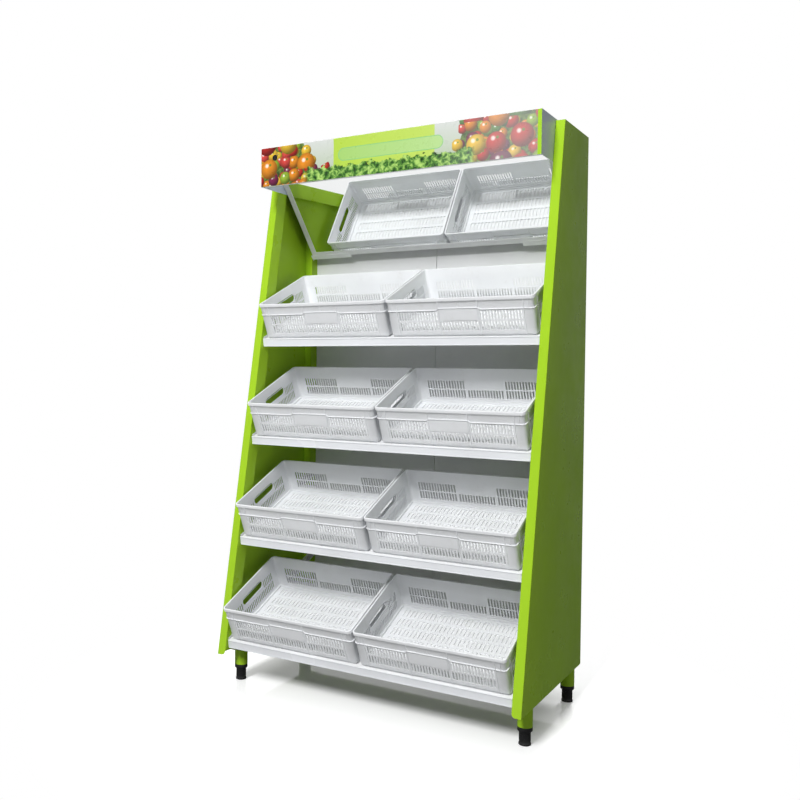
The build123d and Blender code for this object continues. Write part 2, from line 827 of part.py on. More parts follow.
# Lamp under the header's top
lamp_top = header_top - sheet
lamp_low = lamp_top - lamp_housing_height
holder_x = lamp_tube_length / 2 + lamp_pin_clearance
housing_half = holder_x + lampholder_length + lamp_housing_margin
lamp_rear = y_at(lamp_reach - lamp_housing_depth / 2)
lamp_front = y_at(lamp_reach + lamp_housing_depth / 2)
housing_path = [
    (lamp_rear, lamp_top),
    (lamp_rear, lamp_low + lamp_housing_bevel),
    (lamp_rear - lamp_housing_bevel, lamp_low),
    (lamp_front + lamp_housing_bevel, lamp_low),
    (lamp_front, lamp_low + lamp_housing_bevel),
    (lamp_front, lamp_top),
]
with BuildPart() as lamp_housing:
    extrude_outline(Plane.YZ, sheet_outline(housing_path, -sheet), housing_half, both=True)
    extrude_outline(Plane.YZ.offset(-housing_half), housing_path, sheet)
    extrude_outline(Plane.YZ.offset(housing_half - sheet), housing_path, sheet)
write_step(lamp_housing, "lamp_housing")

tube_z = header_top - lamp_tube_drop
with BuildPart() as lamp_tube:
    with BuildSketch(Plane.YZ.offset(-lamp_tube_length / 2)):
        with Locations((y_at(lamp_reach), tube_z)):
            Circle(lamp_tube_radius)
    extrude(amount=lamp_tube_length)
write_step(lamp_tube, "lamp_tube")

with BuildPart() as lampholders:
    for side in (-1, 1):
        block(
            (side * holder_x, side * (holder_x + lampholder_length)),
            (lamp_reach - lampholder_width / 2, lamp_reach + lampholder_width / 2),
            (tube_z - lampholder_overlap, lamp_low),
        )
write_step(lampholders, "lampholders")

# Round rocker switch in the fascia
bezel_y = y_at(print_reach)
bezel_front = bezel_y - switch_bezel_stand
with BuildPart() as switch_bezel:
    with BuildSketch(Plane(origin=(switch_x, bezel_y, switch_z), x_dir=(1, 0, 0), z_dir=(0, -1, 0))):
        Circle(switch_bezel_radius)
    extrude(amount=switch_bezel_stand)
    chamfer(switch_bezel.edges().group_by(Axis.Y)[0], switch_bezel_bevel)
    with BuildSketch(Plane(origin=(switch_x, bezel_y, switch_z), x_dir=(-1, 0, 0), z_dir=(0, 1, 0))):
        Circle(switch_body_radius)
    extrude(amount=switch_body_depth)
    pocket_centre = (switch_x, bezel_front + rocker_pocket_depth / 2, switch_z)
    with Locations(pocket_centre):
        Box(
            2 * (rocker_radius + rocker_clearance),
            rocker_pocket_depth,
            rocker_height + 2 * rocker_clearance,
            mode=Mode.SUBTRACT,
        )
write_step(switch_bezel, "switch_bezel")

rocker_pivot = (switch_x, bezel_front + rocker_pivot_depth, switch_z)
rocker_rise = 2 * rocker_radius * math.tan(math.radians(rocker_throw))
with BuildPart() as switch_rocker:
    with BuildSketch(Plane(origin=rocker_pivot, x_dir=(1, 0, 0), z_dir=(0, 0, 1))):
        Circle(rocker_radius)
        with BuildLine():
            Polyline(
                (-2 * rocker_radius, -rocker_face),
                (0, -rocker_face),
                (2 * rocker_radius, -rocker_face - rocker_rise),
                (2 * rocker_radius, -3 * rocker_radius),
                (-2 * rocker_radius, -3 * rocker_radius),
                close=True,
            )
        make_face(mode=Mode.SUBTRACT)
    extrude(amount=rocker_height / 2, both=True)
write_step(switch_rocker, "switch_rocker")

# Mirror: glass and backing in a four-sided frame, leaning forward over the top tray
frame_low = -mirror_below


def mirror_block(x_range, up_range, out_range, mode=Mode.ADD):
    """Box on the mirror: X, up the mirror, and out from its face."""
    ranges = (x_range, up_range, out_range)
    centre = [sum(ends) / 2 for ends in ranges]
    size = [abs(ends[1] - ends[0]) for ends in ranges]
    with Locations(mirror_plane.location * Location(centre)):
        Box(*size, mode=mode)


with BuildPart() as mirror_frame:
    for side in (-1, 1):
        edge = side * mirror_half
        inner = side * (mirror_half - mirror_rail)
        wall = side * (mirror_half - mirror_rail_wall)
        mirror_block((inner, edge), (frame_low, frame_low + mirror_height), (0, mirror_rail_wall))
        mirror_block((wall, edge), (frame_low, frame_low + mirror_height), (-mirror_rail_depth, 0))
    rail_half = mirror_half - mirror_rail
    for low, high, wall_low in (
        (frame_low, frame_low + mirror_rail, frame_low),
        (
            frame_low + mirror_height - mirror_rail,
            frame_low + mirror_height,
            frame_low + mirror_height - mirror_rail_wall,
        ),
    ):
        mirror_block((-rail_half, rail_half), (low, high), (0, mirror_rail_wall))
        wall_range = (wall_low, wall_low + mirror_rail_wall)
        mirror_block((-rail_half, rail_half), wall_range, (-mirror_rail_depth, 0))
write_step(mirror_frame, "mirror_frame")

glass_half = mirror_half - glass_inset
glass_range = (frame_low + glass_inset, frame_low + mirror_height - glass_inset)
with BuildPart() as mirror_glass:
    mirror_block((-glass_half, glass_half), glass_range, (-glass_thickness, 0))
write_step(mirror_glass, "mirror_glass")

with BuildPart() as mirror_backing:
    backing_low = -glass_thickness - backing_thickness
    mirror_block((-glass_half, glass_half), glass_range, (backing_low, -glass_thickness))
write_step(mirror_backing, "mirror_backing")

shelf_low = frame_low - mirror_rail_wall
with BuildPart() as mirror_bracket_right:
    bracket_x = (mirror_half - bracket_length, lip_x)
    mirror_block(bracket_x, (shelf_low, frame_low), (-bracket_shelf, mirror_rail_wall))
    face_range = (frame_low + bracket_overlap - bracket_face, frame_low + bracket_overlap)
    mirror_block(bracket_x, face_range, (mirror_rail_wall, 2 * mirror_rail_wall))
    tab_range = (frame_low - bracket_tab, frame_low)
    mirror_block((lip_x - sheet, lip_x), tab_range, (-bracket_tab_depth, mirror_rail_wall))
    drill_along_x([bracket_screw_at], lip_x - sheet - 1, lip_x + 1, screw_radius + screw_clearance)
write_step(mirror_bracket_right, "mirror_bracket_right")

with BuildPart() as mirror_bracket_left:
    mirror(mirror_bracket_right.part, about=Plane.YZ)
write_step(mirror_bracket_left, "mirror_bracket_left")

# Top cover behind the header, with a grommet for the supply lead
cover_front = header_back_reach - cover_front_gap
cover_path = [
    (y_at(sheet), panel_top),
    (y_at(cover_front), panel_top),
    (y_at(cover_front), panel_top - cover_front_lip),
]
with BuildPart() as top_cover:
    extrude_outline(Plane.YZ, sheet_outline(cover_path, sheet), header_end_x, both=True)
    with Locations((grommet_side_inset - header_half, y_at(grommet_reach), panel_top)):
        Cylinder(grommet_neck + screw_clearance, 4 * sheet, mode=Mode.SUBTRACT)
write_step(top_cover, "top_cover")

with BuildPart() as cable_grommet:
    grommet_origin = (grommet_side_inset - header_half, y_at(grommet_reach), panel_top)
    with BuildSketch(Plane(origin=grommet_origin, x_dir=(1, 0, 0), z_dir=(0, -1, 0))):
        with BuildLine():
            Polyline(
                (0, -grommet_membrane),
                (grommet_bore, -grommet_membrane),
                (grommet_bore, grommet_stand),
                (grommet_radius - grommet_bevel, grommet_stand),
                (grommet_radius, 0),
                (grommet_neck, 0),
                (grommet_neck, -sheet),
                (grommet_radius, -sheet),
                (grommet_radius - grommet_bevel, -sheet - grommet_stand),
                (grommet_bore, -sheet - grommet_stand),
                (grommet_bore, -2 * grommet_membrane),
                (0, -2 * grommet_membrane),
                close=True,
            )
        make_face()
    revolve(axis=Axis(grommet_origin, (0, 0, 1)))
write_step(cable_grommet, "cable_grommet")
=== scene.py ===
"""Finished looks of a greengrocer's crate stand: folded green side panels, tilted white trays with vented
crates, a leaning mirror, a printed header with a lamp, and four legs with levelling feet.

Metres, +Z up, front to -Y, origin on the floor under the middle of the stand. The stand's frame is loaded
first, and every piece here is built in its place on that frame."""

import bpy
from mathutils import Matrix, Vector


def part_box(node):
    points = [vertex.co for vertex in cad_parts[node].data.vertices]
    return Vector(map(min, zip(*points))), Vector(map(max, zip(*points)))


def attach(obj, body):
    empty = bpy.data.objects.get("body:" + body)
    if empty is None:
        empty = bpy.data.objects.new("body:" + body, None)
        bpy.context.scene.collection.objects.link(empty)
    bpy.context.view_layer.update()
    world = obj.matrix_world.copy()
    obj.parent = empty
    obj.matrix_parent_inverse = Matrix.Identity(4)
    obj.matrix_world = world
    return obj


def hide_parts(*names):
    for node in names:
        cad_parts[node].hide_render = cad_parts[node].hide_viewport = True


bl_info = {
    "name": "Market Crate Stand",
    "version": (1, 0, 0),
    "blender": (4, 5, 0),
    "location": "View3D > Sidebar > Crate Stand",
    "description": "Builds the crates, trays, casing, mirror, header and feet of a market crate stand",
    "category": "Object",
}

import math

import bmesh
import bpy
from bpy.props import FloatProperty, FloatVectorProperty, IntProperty, PointerProperty
from mathutils import Matrix, Vector

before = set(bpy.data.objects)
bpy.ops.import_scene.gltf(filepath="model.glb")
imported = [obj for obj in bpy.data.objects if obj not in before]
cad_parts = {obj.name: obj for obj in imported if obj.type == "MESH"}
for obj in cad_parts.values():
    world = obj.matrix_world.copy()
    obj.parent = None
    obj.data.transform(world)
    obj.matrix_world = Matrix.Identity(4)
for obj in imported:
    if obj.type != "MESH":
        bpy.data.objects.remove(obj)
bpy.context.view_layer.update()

TIERS = (1, 2, 3, 4)
SIDES = ("left", "right")
FEET = ("front_left", "front_right", "rear_left", "rear_right")
CUTTER_START = 0.01


# Settings -----------------------------------------------------------------------------------------------


class CrateSettings(bpy.types.PropertyGroup):
    """Sizes of one vented produce crate."""

    length: FloatProperty(name="Length", description="Rim length", default=0.556, unit="LENGTH")
    depth: FloatProperty(name="Depth", description="Rim depth", default=0.360, unit="LENGTH")
    height: FloatProperty(name="Height", description="Foot to rim", default=0.145, unit="LENGTH")
    corner: FloatProperty(name="Corner Radius", description="Rim's corner", default=0.015, unit="LENGTH")
    wall: FloatProperty(name="Wall", description="Wall thickness", default=0.0025, unit="LENGTH")
    skin: FloatProperty(name="Skin Inset", description="Wall set in from the rim", default=0.004, unit="LENGTH")
    foot: FloatProperty(name="Foot Height", description="Stacking foot", default=0.008, unit="LENGTH")
    foot_inset: FloatProperty(name="Foot Inset", description="Foot set in", default=0.010, unit="LENGTH")
    rim: FloatProperty(name="Rim Height", description="Thick band at the top", default=0.012, unit="LENGTH")
    slot: FloatProperty(name="Slot Width", description="Width of a vent slot", default=0.0055, unit="LENGTH")
    slot_height: FloatProperty(name="Slot Height", description="Height of a slot", default=0.032, unit="LENGTH")
    pitch: FloatProperty(name="Slot Pitch", description="Middle to middle", default=0.011, unit="LENGTH")
    tilt: FloatProperty(
        name="Tray Tilt", description="Slope of the trays", default=math.radians(23.65), subtype="ANGLE"
    )
    colour: FloatVectorProperty(
        name="Plastic", description="Crate plastic", default=(0.86, 0.875, 0.895), subtype="COLOR", size=3
    )


class CasingSettings(bpy.types.PropertyGroup):
    """Side panels, frame, back and trays."""

    sheet: FloatProperty(name="Sheet", description="Sheet metal thickness", default=0.0015, unit="LENGTH")
    fold: FloatProperty(name="Fold Radius", description="Radius of the folds", default=0.0026, unit="LENGTH")
    edge: FloatProperty(name="Edge Radius", description="Panel's two front edges", default=0.006, unit="LENGTH")
    corner: FloatProperty(name="Cut Corner", description="Round foot of the front flange", default=0.014, unit="LENGTH")
    lip: FloatProperty(name="Return Lip", description="Depth of the return lip", default=0.061, unit="LENGTH")
    ticket: FloatProperty(name="Ticket Strip", description="Ticket thickness", default=0.0006, unit="LENGTH")
    green: FloatVectorProperty(
        name="Green", description="Powder coat of the casing", default=(0.36, 0.61, 0.024), subtype="COLOR", size=3
    )
    white: FloatVectorProperty(
        name="White", description="Powder coat of the trays", default=(0.84, 0.85, 0.86), subtype="COLOR", size=3
    )
    grey: FloatVectorProperty(
        name="Blue-Grey", description="Header ends", default=(0.74, 0.82, 0.95), subtype="COLOR", size=3
    )


class MirrorSettings(bpy.types.PropertyGroup):
    """Mirror and its frame."""

    tilt: FloatProperty(name="Tilt", description="From the floor's plane", default=math.radians(49.0), subtype="ANGLE")
    rail: FloatProperty(name="Rail", description="Width of a frame rail", default=0.022, unit="LENGTH")
    rail_depth: FloatProperty(name="Rail Depth", description="Behind the face", default=0.013, unit="LENGTH")
    rail_wall: FloatProperty(name="Rail Wall", description="Thickness", default=0.002, unit="LENGTH")
    below: FloatProperty(name="Below", description="Frame below the mirror's foot", default=0.005, unit="LENGTH")
    silver: FloatVectorProperty(
        name="Silver", description="Colour of the silvering", default=(0.89, 0.90, 0.90), subtype="COLOR", size=3
    )


class FittingSettings(bpy.types.PropertyGroup):
    """Legs, feet, screws, lamp and switch."""

    facets: IntProperty(name="Facets", description="Sides of a turned piece", default=64, min=16)
    grips: IntProperty(name="Grips", description="Grip ribs round a foot", default=24, min=6)
    grip_depth: FloatProperty(name="Grip Depth", description="Rib's height", default=0.0009, unit="LENGTH")
    cap: FloatProperty(name="Lamp Cap", description="Length of a tube's cap", default=0.016, unit="LENGTH")
    recess: FloatProperty(name="Recess", description="Depth of a screw's cross", default=0.0014, unit="LENGTH")
    black: FloatVectorProperty(
        name="Black", description="Feet and collars", default=(0.019, 0.019, 0.020), subtype="COLOR", size=3
    )


class StageSettings(bpy.types.PropertyGroup):
    """Floor, lights and camera."""

    key: FloatProperty(name="Key Power", description="Soft box high in front", default=985.0, unit="POWER")
    top: FloatProperty(name="Top Power", description="Soft box overhead", default=16.0, unit="POWER")
    rear: FloatProperty(name="Rear Power", description="Soft box high behind", default=330.0, unit="POWER")
    lamp: FloatProperty(name="Lamp Power", description="Light from the header's lamp", default=0.25, unit="POWER")
    ambient: FloatProperty(name="Ambient", description="World light", default=0.17, min=0.0)
    focal: FloatProperty(name="Focal Length", description="In pixels of an 800 px frame", default=908.93)


class StandSettings(bpy.types.PropertyGroup):
    """All settings of the stand."""

    crate: PointerProperty(type=CrateSettings, name="Crates", description="Crate sizes")
    casing: PointerProperty(type=CasingSettings, name="Casing", description="Panels and trays")
    mirror: PointerProperty(type=MirrorSettings, name="Mirror", description="Mirror sizes")
    fitting: PointerProperty(type=FittingSettings, name="Fittings", description="Small parts")
    stage: PointerProperty(type=StageSettings, name="Stage", description="Floor, lights and camera")


# Node trees ---------------------------------------------------------------------------------------------


def place(tree, kind, inputs=None, **settings):
    """Add a node. Inputs are given by name or number, as constants or as sockets to link."""
    node = tree.nodes.new(kind)
    for name, value in settings.items():
        setattr(node, name, value)
    for key, value in (inputs or {}).items():
        if isinstance(value, bpy.types.NodeSocket):
            tree.links.new(value, node.inputs[key])
        else:
            node.inputs[key].default_value = value
    return node


def calculate(tree, operation, *values):
    """A Math node's result."""
    return place(tree, "ShaderNodeMath", dict(enumerate(values)), operation=operation).outputs[0]


def new_group(kind, name, inputs, outputs):
    """An empty node group with its sockets, and its input and output nodes."""
    tree = bpy.data.node_groups.new(name, kind)
    for in_out, sockets in (("INPUT", inputs), ("OUTPUT", outputs)):
        for label, socket_type, default in sockets:
            socket = tree.interface.new_socket(name=label, in_out=in_out, socket_type="NodeSocket" + socket_type)
            if default is not None:
                socket.default_value = default
    return tree, tree.nodes.new("NodeGroupInput"), tree.nodes.new("NodeGroupOutput")


def noise(tree, vector, scale, detail=2.0, roughness=0.5, **settings):
    """A Noise Texture's factor."""
    values = {"Vector": vector, "Scale": scale, "Detail": detail, "Roughness": roughness}
    return place(tree, "ShaderNodeTexNoise", values, **settings).outputs["Fac"]


def spread(tree, value, low, high, to_low=0.0, to_high=1.0, smooth=False):
    """Map Range, clamped."""
    values = {"Value": value, "From Min": low, "From Max": high, "To Min": to_low, "To Max": to_high}
    node = place(tree, "ShaderNodeMapRange", values, clamp=True)
    if smooth:
        node.interpolation_type = "SMOOTHSTEP"
    return node.outputs["Result"]


def blend_colour(tree, factor, first, second, blend_type="MIX"):
    """Mix two colours."""
    node = place(tree, "ShaderNodeMix", data_type="RGBA", blend_type=blend_type, clamp_factor=True)
    for index, value in ((0, factor), (6, first), (7, second)):
        if isinstance(value, bpy.types.NodeSocket):
            tree.links.new(value, node.inputs[index])
        elif index:
            node.inputs[index].default_value = (*value, 1.0)
        else:
            node.inputs[index].default_value = value
    return node.outputs[2]


def shared_group(name, build):
    """A shader group that is built once and used by several materials."""
    return bpy.data.node_groups.get(name) or build(name)


def build_powder_coat(name):
    """Orange peel, faint blotches and settled dust of powder-coated sheet."""
    tree, start, end = new_group(
        "ShaderNodeTree",
        name,
        [("Colour", "Color", None), ("Grain", "Float", 420.0), ("Depth", "Float", 0.06), ("Dust", "Float", 0.12)],
        [("Colour", "Color", None), ("Roughness", "Float", None), ("Normal", "Vector", None)],
    )
    where = place(tree, "ShaderNodeTexCoord").outputs["Object"]
    peel = noise(tree, where, start.outputs["Grain"], 1.0)
    bump_values = {"Strength": start.outputs["Depth"], "Distance": 0.0003, "Height": peel}
    bump = place(tree, "ShaderNodeBump", bump_values)
    blotch = noise(tree, where, 3.1, 4.0, 0.6)
    tone = spread(tree, blotch, 0.3, 0.7, 0.93, 1.03)
    toned = place(tree, "ShaderNodeVectorMath", {0: start.outputs["Colour"], "Scale": tone}, operation="SCALE")
    normal = place(tree, "ShaderNodeNewGeometry").outputs["Normal"]
    up = place(tree, "ShaderNodeSeparateXYZ", {0: normal}).outputs["Z"]
    settled = spread(tree, up, 0.3, 0.95, 0.0, 1.0)
    patchy = spread(tree, noise(tree, where, 22.0, 5.0, 0.7), 0.35, 0.7)
    amount = calculate(tree, "MULTIPLY", calculate(tree, "MULTIPLY", settled, patchy), start.outputs["Dust"])
    dusty = blend_colour(tree, amount, toned.outputs[0], (0.46, 0.44, 0.40))
    tree.links.new(dusty, end.inputs["Colour"])
    handled = noise(tree, where, 9.0, 3.0, 0.65)
    shine = spread(tree, handled, 0.35, 0.68, 0.27, 0.40)
    tree.links.new(calculate(tree, "ADD", shine, amount), end.inputs["Roughness"])
    tree.links.new(bump.outputs["Normal"], end.inputs["Normal"])
    return tree


def build_scuffs(name):
    """Long thin scratches, as a mask."""
    tree, start, end = new_group(
        "ShaderNodeTree",
        name,
        [("Vector", "Vector", None), ("Scale", "Float", 1.0), ("Amount", "Float", 0.5)],
        [("Mask", "Float", None)],
    )
    masks = []
    for turn, stretch in ((0.5, (5.0, 190.0, 120.0)), (-0.9, (170.0, 6.0, 90.0)), (1.3, (60.0, 220.0, 4.0))):
        mapping = place(
            tree, "ShaderNodeMapping", {"Vector": start.outputs["Vector"], "Rotation": (turn, 0.2, turn)}
        )
        mapping.inputs["Scale"].default_value = stretch
        lines = noise(tree, mapping.outputs[0], start.outputs["Scale"], 1.0)
        where = noise(tree, start.outputs["Vector"], 14.0, 2.0)
        mask = calculate(tree, "MULTIPLY", spread(tree, lines, 0.66, 0.72), spread(tree, where, 0.5, 0.62))
        masks.append(mask)
    joined = calculate(tree, "MAXIMUM", calculate(tree, "MAXIMUM", masks[0], masks[1]), masks[2])
    tree.links.new(calculate(tree, "MULTIPLY", joined, start.outputs["Amount"]), end.inputs["Mask"])
    return tree


def build_moulding(name):
    """Moulded plastic: soft grain, scuffs and a little grime."""
    tree, start, end = new_group(
        "ShaderNodeTree",
        name,
        [
            ("Colour", "Color", None),
            ("Grime", "Color", (0.45, 0.42, 0.36, 1.0)),
            ("Wear", "Float", 0.5),
            ("Shine", "Float", 0.40),
        ],
        [("Colour", "Color", None), ("Roughness", "Float", None), ("Normal", "Vector", None)],
    )
    where = place(tree, "ShaderNodeTexCoord").outputs["Object"]
    scuffs = place(tree, "ShaderNodeGroup", node_tree=shared_group("thin_scratches", build_scuffs))
    tree.links.new(where, scuffs.inputs["Vector"])
    tree.links.new(start.outputs["Wear"], scuffs.inputs["Amount"])
    grain = noise(tree, where, 420.0, 3.0, 0.6)
    flow = noise(tree, where, 6.0, 3.0)
    height = calculate(tree, "SUBTRACT", grain, calculate(tree, "MULTIPLY", scuffs.outputs["Mask"], 1.5))
    bump = place(tree, "ShaderNodeBump", {"Strength": 0.10, "Distance": 0.0004, "Height": height})
    tone = spread(tree, flow, 0.3, 0.7, 0.95, 1.02)
    toned = place(tree, "ShaderNodeVectorMath", {0: start.outputs["Colour"], "Scale": tone}, operation="SCALE")
    stain = spread(tree, noise(tree, where, 17.0, 5.0, 0.72), 0.58, 0.80)
    marks = calculate(tree, "ADD", calculate(tree, "MULTIPLY", scuffs.outputs["Mask"], 0.35), stain)
    marks = calculate(tree, "MULTIPLY", marks, calculate(tree, "MULTIPLY", start.outputs["Wear"], 0.30))
    worn = blend_colour(tree, marks, toned.outputs[0], (1.0, 1.0, 1.0))
    tree.links.new(start.outputs["Grime"], worn.node.inputs[7])
    tree.links.new(worn, end.inputs["Colour"])
    rough = spread(tree, flow, 0.3, 0.7, -0.05, 0.06)
    tree.links.new(calculate(tree, "ADD", start.outputs["Shine"], rough), end.inputs["Roughness"])
    tree.links.new(bump.outputs["Normal"], end.inputs["Normal"])
    return tree


def build_fruit(name):
    """One layer of round fruit in rows, each with its own colour, shade, gloss and stalk."""
    tree, start, end = new_group(
        "ShaderNodeTree",
        name,
        [("Vector", "Vector", None), ("Size", "Float", 0.05), ("Loose", "Float", 0.5), ("Ripe", "Float", 0.0)],
        [("Colour", "Color", None), ("Mask", "Float", None), ("Centre", "Vector", None)],
    )
    share = calculate(tree, "DIVIDE", 1.0, start.outputs["Size"])
    point = place(tree, "ShaderNodeVectorMath", {0: start.outputs["Vector"], "Scale": share}, operation="SCALE")
    cells = place(
        tree,
        "ShaderNodeTexVoronoi",
        {"Vector": point.outputs[0], "Scale": 1.0, "Randomness": start.outputs["Loose"]},
        voronoi_dimensions="2D",
    )
    away = cells.outputs["Distance"]
    offset = place(
        tree, "ShaderNodeVectorMath", {0: point.outputs[0], 1: cells.outputs["Position"]}, operation="SUBTRACT"
    ).outputs[0]
    pick = place(tree, "ShaderNodeSeparateColor", {0: cells.outputs["Color"]})
    chosen = calculate(tree, "FRACT", calculate(tree, "ADD", pick.outputs[0], start.outputs["Ripe"]))
    ramp = place(tree, "ShaderNodeValToRGB", {"Fac": chosen})
    ramp.color_ramp.interpolation = "CONSTANT"
    fruit_colours = (
        (0.0, (0.62, 0.030, 0.022)),
        (0.26, (0.86, 0.30, 0.020)),
        (0.42, (0.90, 0.58, 0.045)),
        (0.56, (0.22, 0.020, 0.085)),
        (0.68, (0.34, 0.52, 0.045)),
        (0.82, (0.74, 0.075, 0.06)),
        (0.93, (0.10, 0.26, 0.045)),
    )
    stops = ramp.color_ramp.elements
    for place_at, colour in fruit_colours[2:]:
        stops.new(place_at)
    for stop, (place_at, colour) in zip(stops, fruit_colours):
        stop.position = place_at
        stop.color = (*colour, 1.0)
    slope = place(tree, "ShaderNodeVectorMath", {0: offset, 1: (-0.9, 1.25, 0.0)}, operation="DOT_PRODUCT")
    lit = spread(tree, slope.outputs["Value"], -0.5, 0.45, 0.35, 1.12)
    rim = spread(tree, away, 0.18, 0.5, 1.0, 0.42)
    shade = calculate(tree, "MULTIPLY", lit, rim)
    skin = place(tree, "ShaderNodeVectorMath", {0: ramp.outputs["Color"], "Scale": shade}, operation="SCALE")
    glint_at = place(tree, "ShaderNodeVectorMath", {0: offset, 1: (-0.13, 0.17, 0.0)}, operation="DISTANCE")
    glint = spread(tree, glint_at.outputs["Value"], 0.035, 0.13, 0.75, 0.0, smooth=True)
    glossy = blend_colour(tree, glint, skin.outputs[0], (1.0, 0.98, 0.92))
    stalk_at = place(tree, "ShaderNodeVectorMath", {0: offset, 1: (0.05, 0.19, 0.0)}, operation="DISTANCE")
    stalk = calculate(tree, "MULTIPLY", spread(tree, stalk_at.outputs["Value"], 0.05, 0.075, 1.0, 0.0), 0.85)
    topped = blend_colour(tree, stalk, glossy, (0.10, 0.24, 0.03))
    tree.links.new(topped, end.inputs["Colour"])
    bulk = spread(tree, pick.outputs[1], 0.0, 1.0, 0.40, 0.53)
    inside = calculate(tree, "SUBTRACT", bulk, away)
    tree.links.new(spread(tree, inside, 0.0, 0.02), end.inputs["Mask"])
    centre = place(
        tree, "ShaderNodeVectorMath", {0: cells.outputs["Position"], "Scale": start.outputs["Size"]}, operation="SCALE"
    )
    tree.links.new(centre.outputs[0], end.inputs["Centre"])
    return tree


# Materials ----------------------------------------------------------------------------------------------


def new_material(name):
    """A material with its Principled shader and the shader's inputs by name."""
    material = bpy.data.materials.new(name)
    material.use_nodes = True
    shader = material.node_tree.nodes["Principled BSDF"]
    return material, material.node_tree, shader


def paint(name, colour, grain=420.0, depth=0.018, dust=0.12, specular=0.2):
    """Powder coat in a colour."""
    material = bpy.data.materials.get(name)
    if material:
        return material
    material, tree, shader = new_material(name)
    coat_node = place(tree, "ShaderNodeGroup", node_tree=shared_group("powder_coat", build_powder_coat))
    coat_node.inputs["Colour"].default_value = (*colour, 1.0)
    coat_node.inputs["Grain"].default_value = grain
    coat_node.inputs["Depth"].default_value = depth
    coat_node.inputs["Dust"].default_value = dust
    tree.links.new(coat_node.outputs["Colour"], shader.inputs["Base Color"])
    tree.links.new(coat_node.outputs["Roughness"], shader.inputs["Roughness"])
    tree.links.new(coat_node.outputs["Normal"], shader.inputs["Normal"])
    shader.inputs["Specular IOR Level"].default_value = specular
    return material


def moulded(name, colour, wear=0.5, shine=0.40, grime=(0.45, 0.42, 0.36), specular=0.5):
    """Moulded plastic in a colour."""
    material = bpy.data.materials.get(name)
    if material:
        return material
    material, tree, shader = new_material(name)
    plastic = place(tree, "ShaderNodeGroup", node_tree=shared_group("moulded_plastic", build_moulding))
    plastic.inputs["Colour"].default_value = (*colour, 1.0)
    plastic.inputs["Grime"].default_value = (*grime, 1.0)
    plastic.inputs["Wear"].default_value = wear
    plastic.inputs["Shine"].default_value = shine
    tree.links.new(plastic.outputs["Colour"], shader.inputs["Base Color"])
    tree.links.new(plastic.outputs["Roughness"], shader.inputs["Roughness"])
    tree.links.new(plastic.outputs["Normal"], shader.inputs["Normal"])
    shader.inputs["Specular IOR Level"].default_value = specular
    return material


def zinc():
    """Zinc-plated steel of the screws and lamp caps."""
    material = bpy.data.materials.get("zinc_plate")
    if material:
        return material
    material, tree, shader = new_material("zinc_plate")
    where = place(tree, "ShaderNodeTexCoord").outputs["Object"]
    patches = noise(tree, where, 160.0, 3.0, 0.6)
    cool = blend_colour(tree, spread(tree, patches, 0.3, 0.7), (0.55, 0.56, 0.57), (0.66, 0.65, 0.60))
    tree.links.new(cool, shader.inputs["Base Color"])
    tree.links.new(spread(tree, patches, 0.3, 0.7, 0.26, 0.42), shader.inputs["Roughness"])
    fine = place(tree, "ShaderNodeBump", {"Strength": 0.15, "Distance": 0.0002, "Height": noise(tree, where, 900.0)})
    tree.links.new(fine.outputs["Normal"], shader.inputs["Normal"])
    shader.inputs["Metallic"].default_value = 1.0
    return material


def silvered_glass(colour):
    """Mirror with faint wipe marks."""
    material, tree, shader = new_material("silvered_glass")
    where = place(tree, "ShaderNodeTexCoord").outputs["Object"]
    wipes = place(tree, "ShaderNodeMapping", {"Vector": where, "Rotation": (0.4, 0.3, 0.5), "Scale": (2.0, 9.0, 9.0)})
    smear = spread(tree, noise(tree, wipes.outputs[0], 3.0, 5.0, 0.7), 0.45, 0.75, 0.012, 0.045)
    tree.links.new(smear, shader.inputs["Roughness"])
    haze = spread(tree, noise(tree, where, 5.0, 4.0), 0.3, 0.8)
    tint = blend_colour(tree, haze, colour, tuple(value * 0.97 for value in colour))
    tree.links.new(tint, shader.inputs["Base Color"])
    shader.inputs["Metallic"].default_value = 1.0
    return material


def lamp_frost():
    """Frosted lamp tube."""
    material, tree, shader = new_material("frosted_tube")
    where = place(tree, "ShaderNodeTexCoord").outputs["Object"]
    cloud = spread(tree, noise(tree, where, 30.0, 3.0), 0.3, 0.7)
    tree.links.new(blend_colour(tree, cloud, (0.86, 0.87, 0.86), (0.92, 0.92, 0.90)), shader.inputs["Base Color"])
    tree.links.new(spread(tree, cloud, 0.0, 1.0, 0.30, 0.38), shader.inputs["Roughness"])
    return material


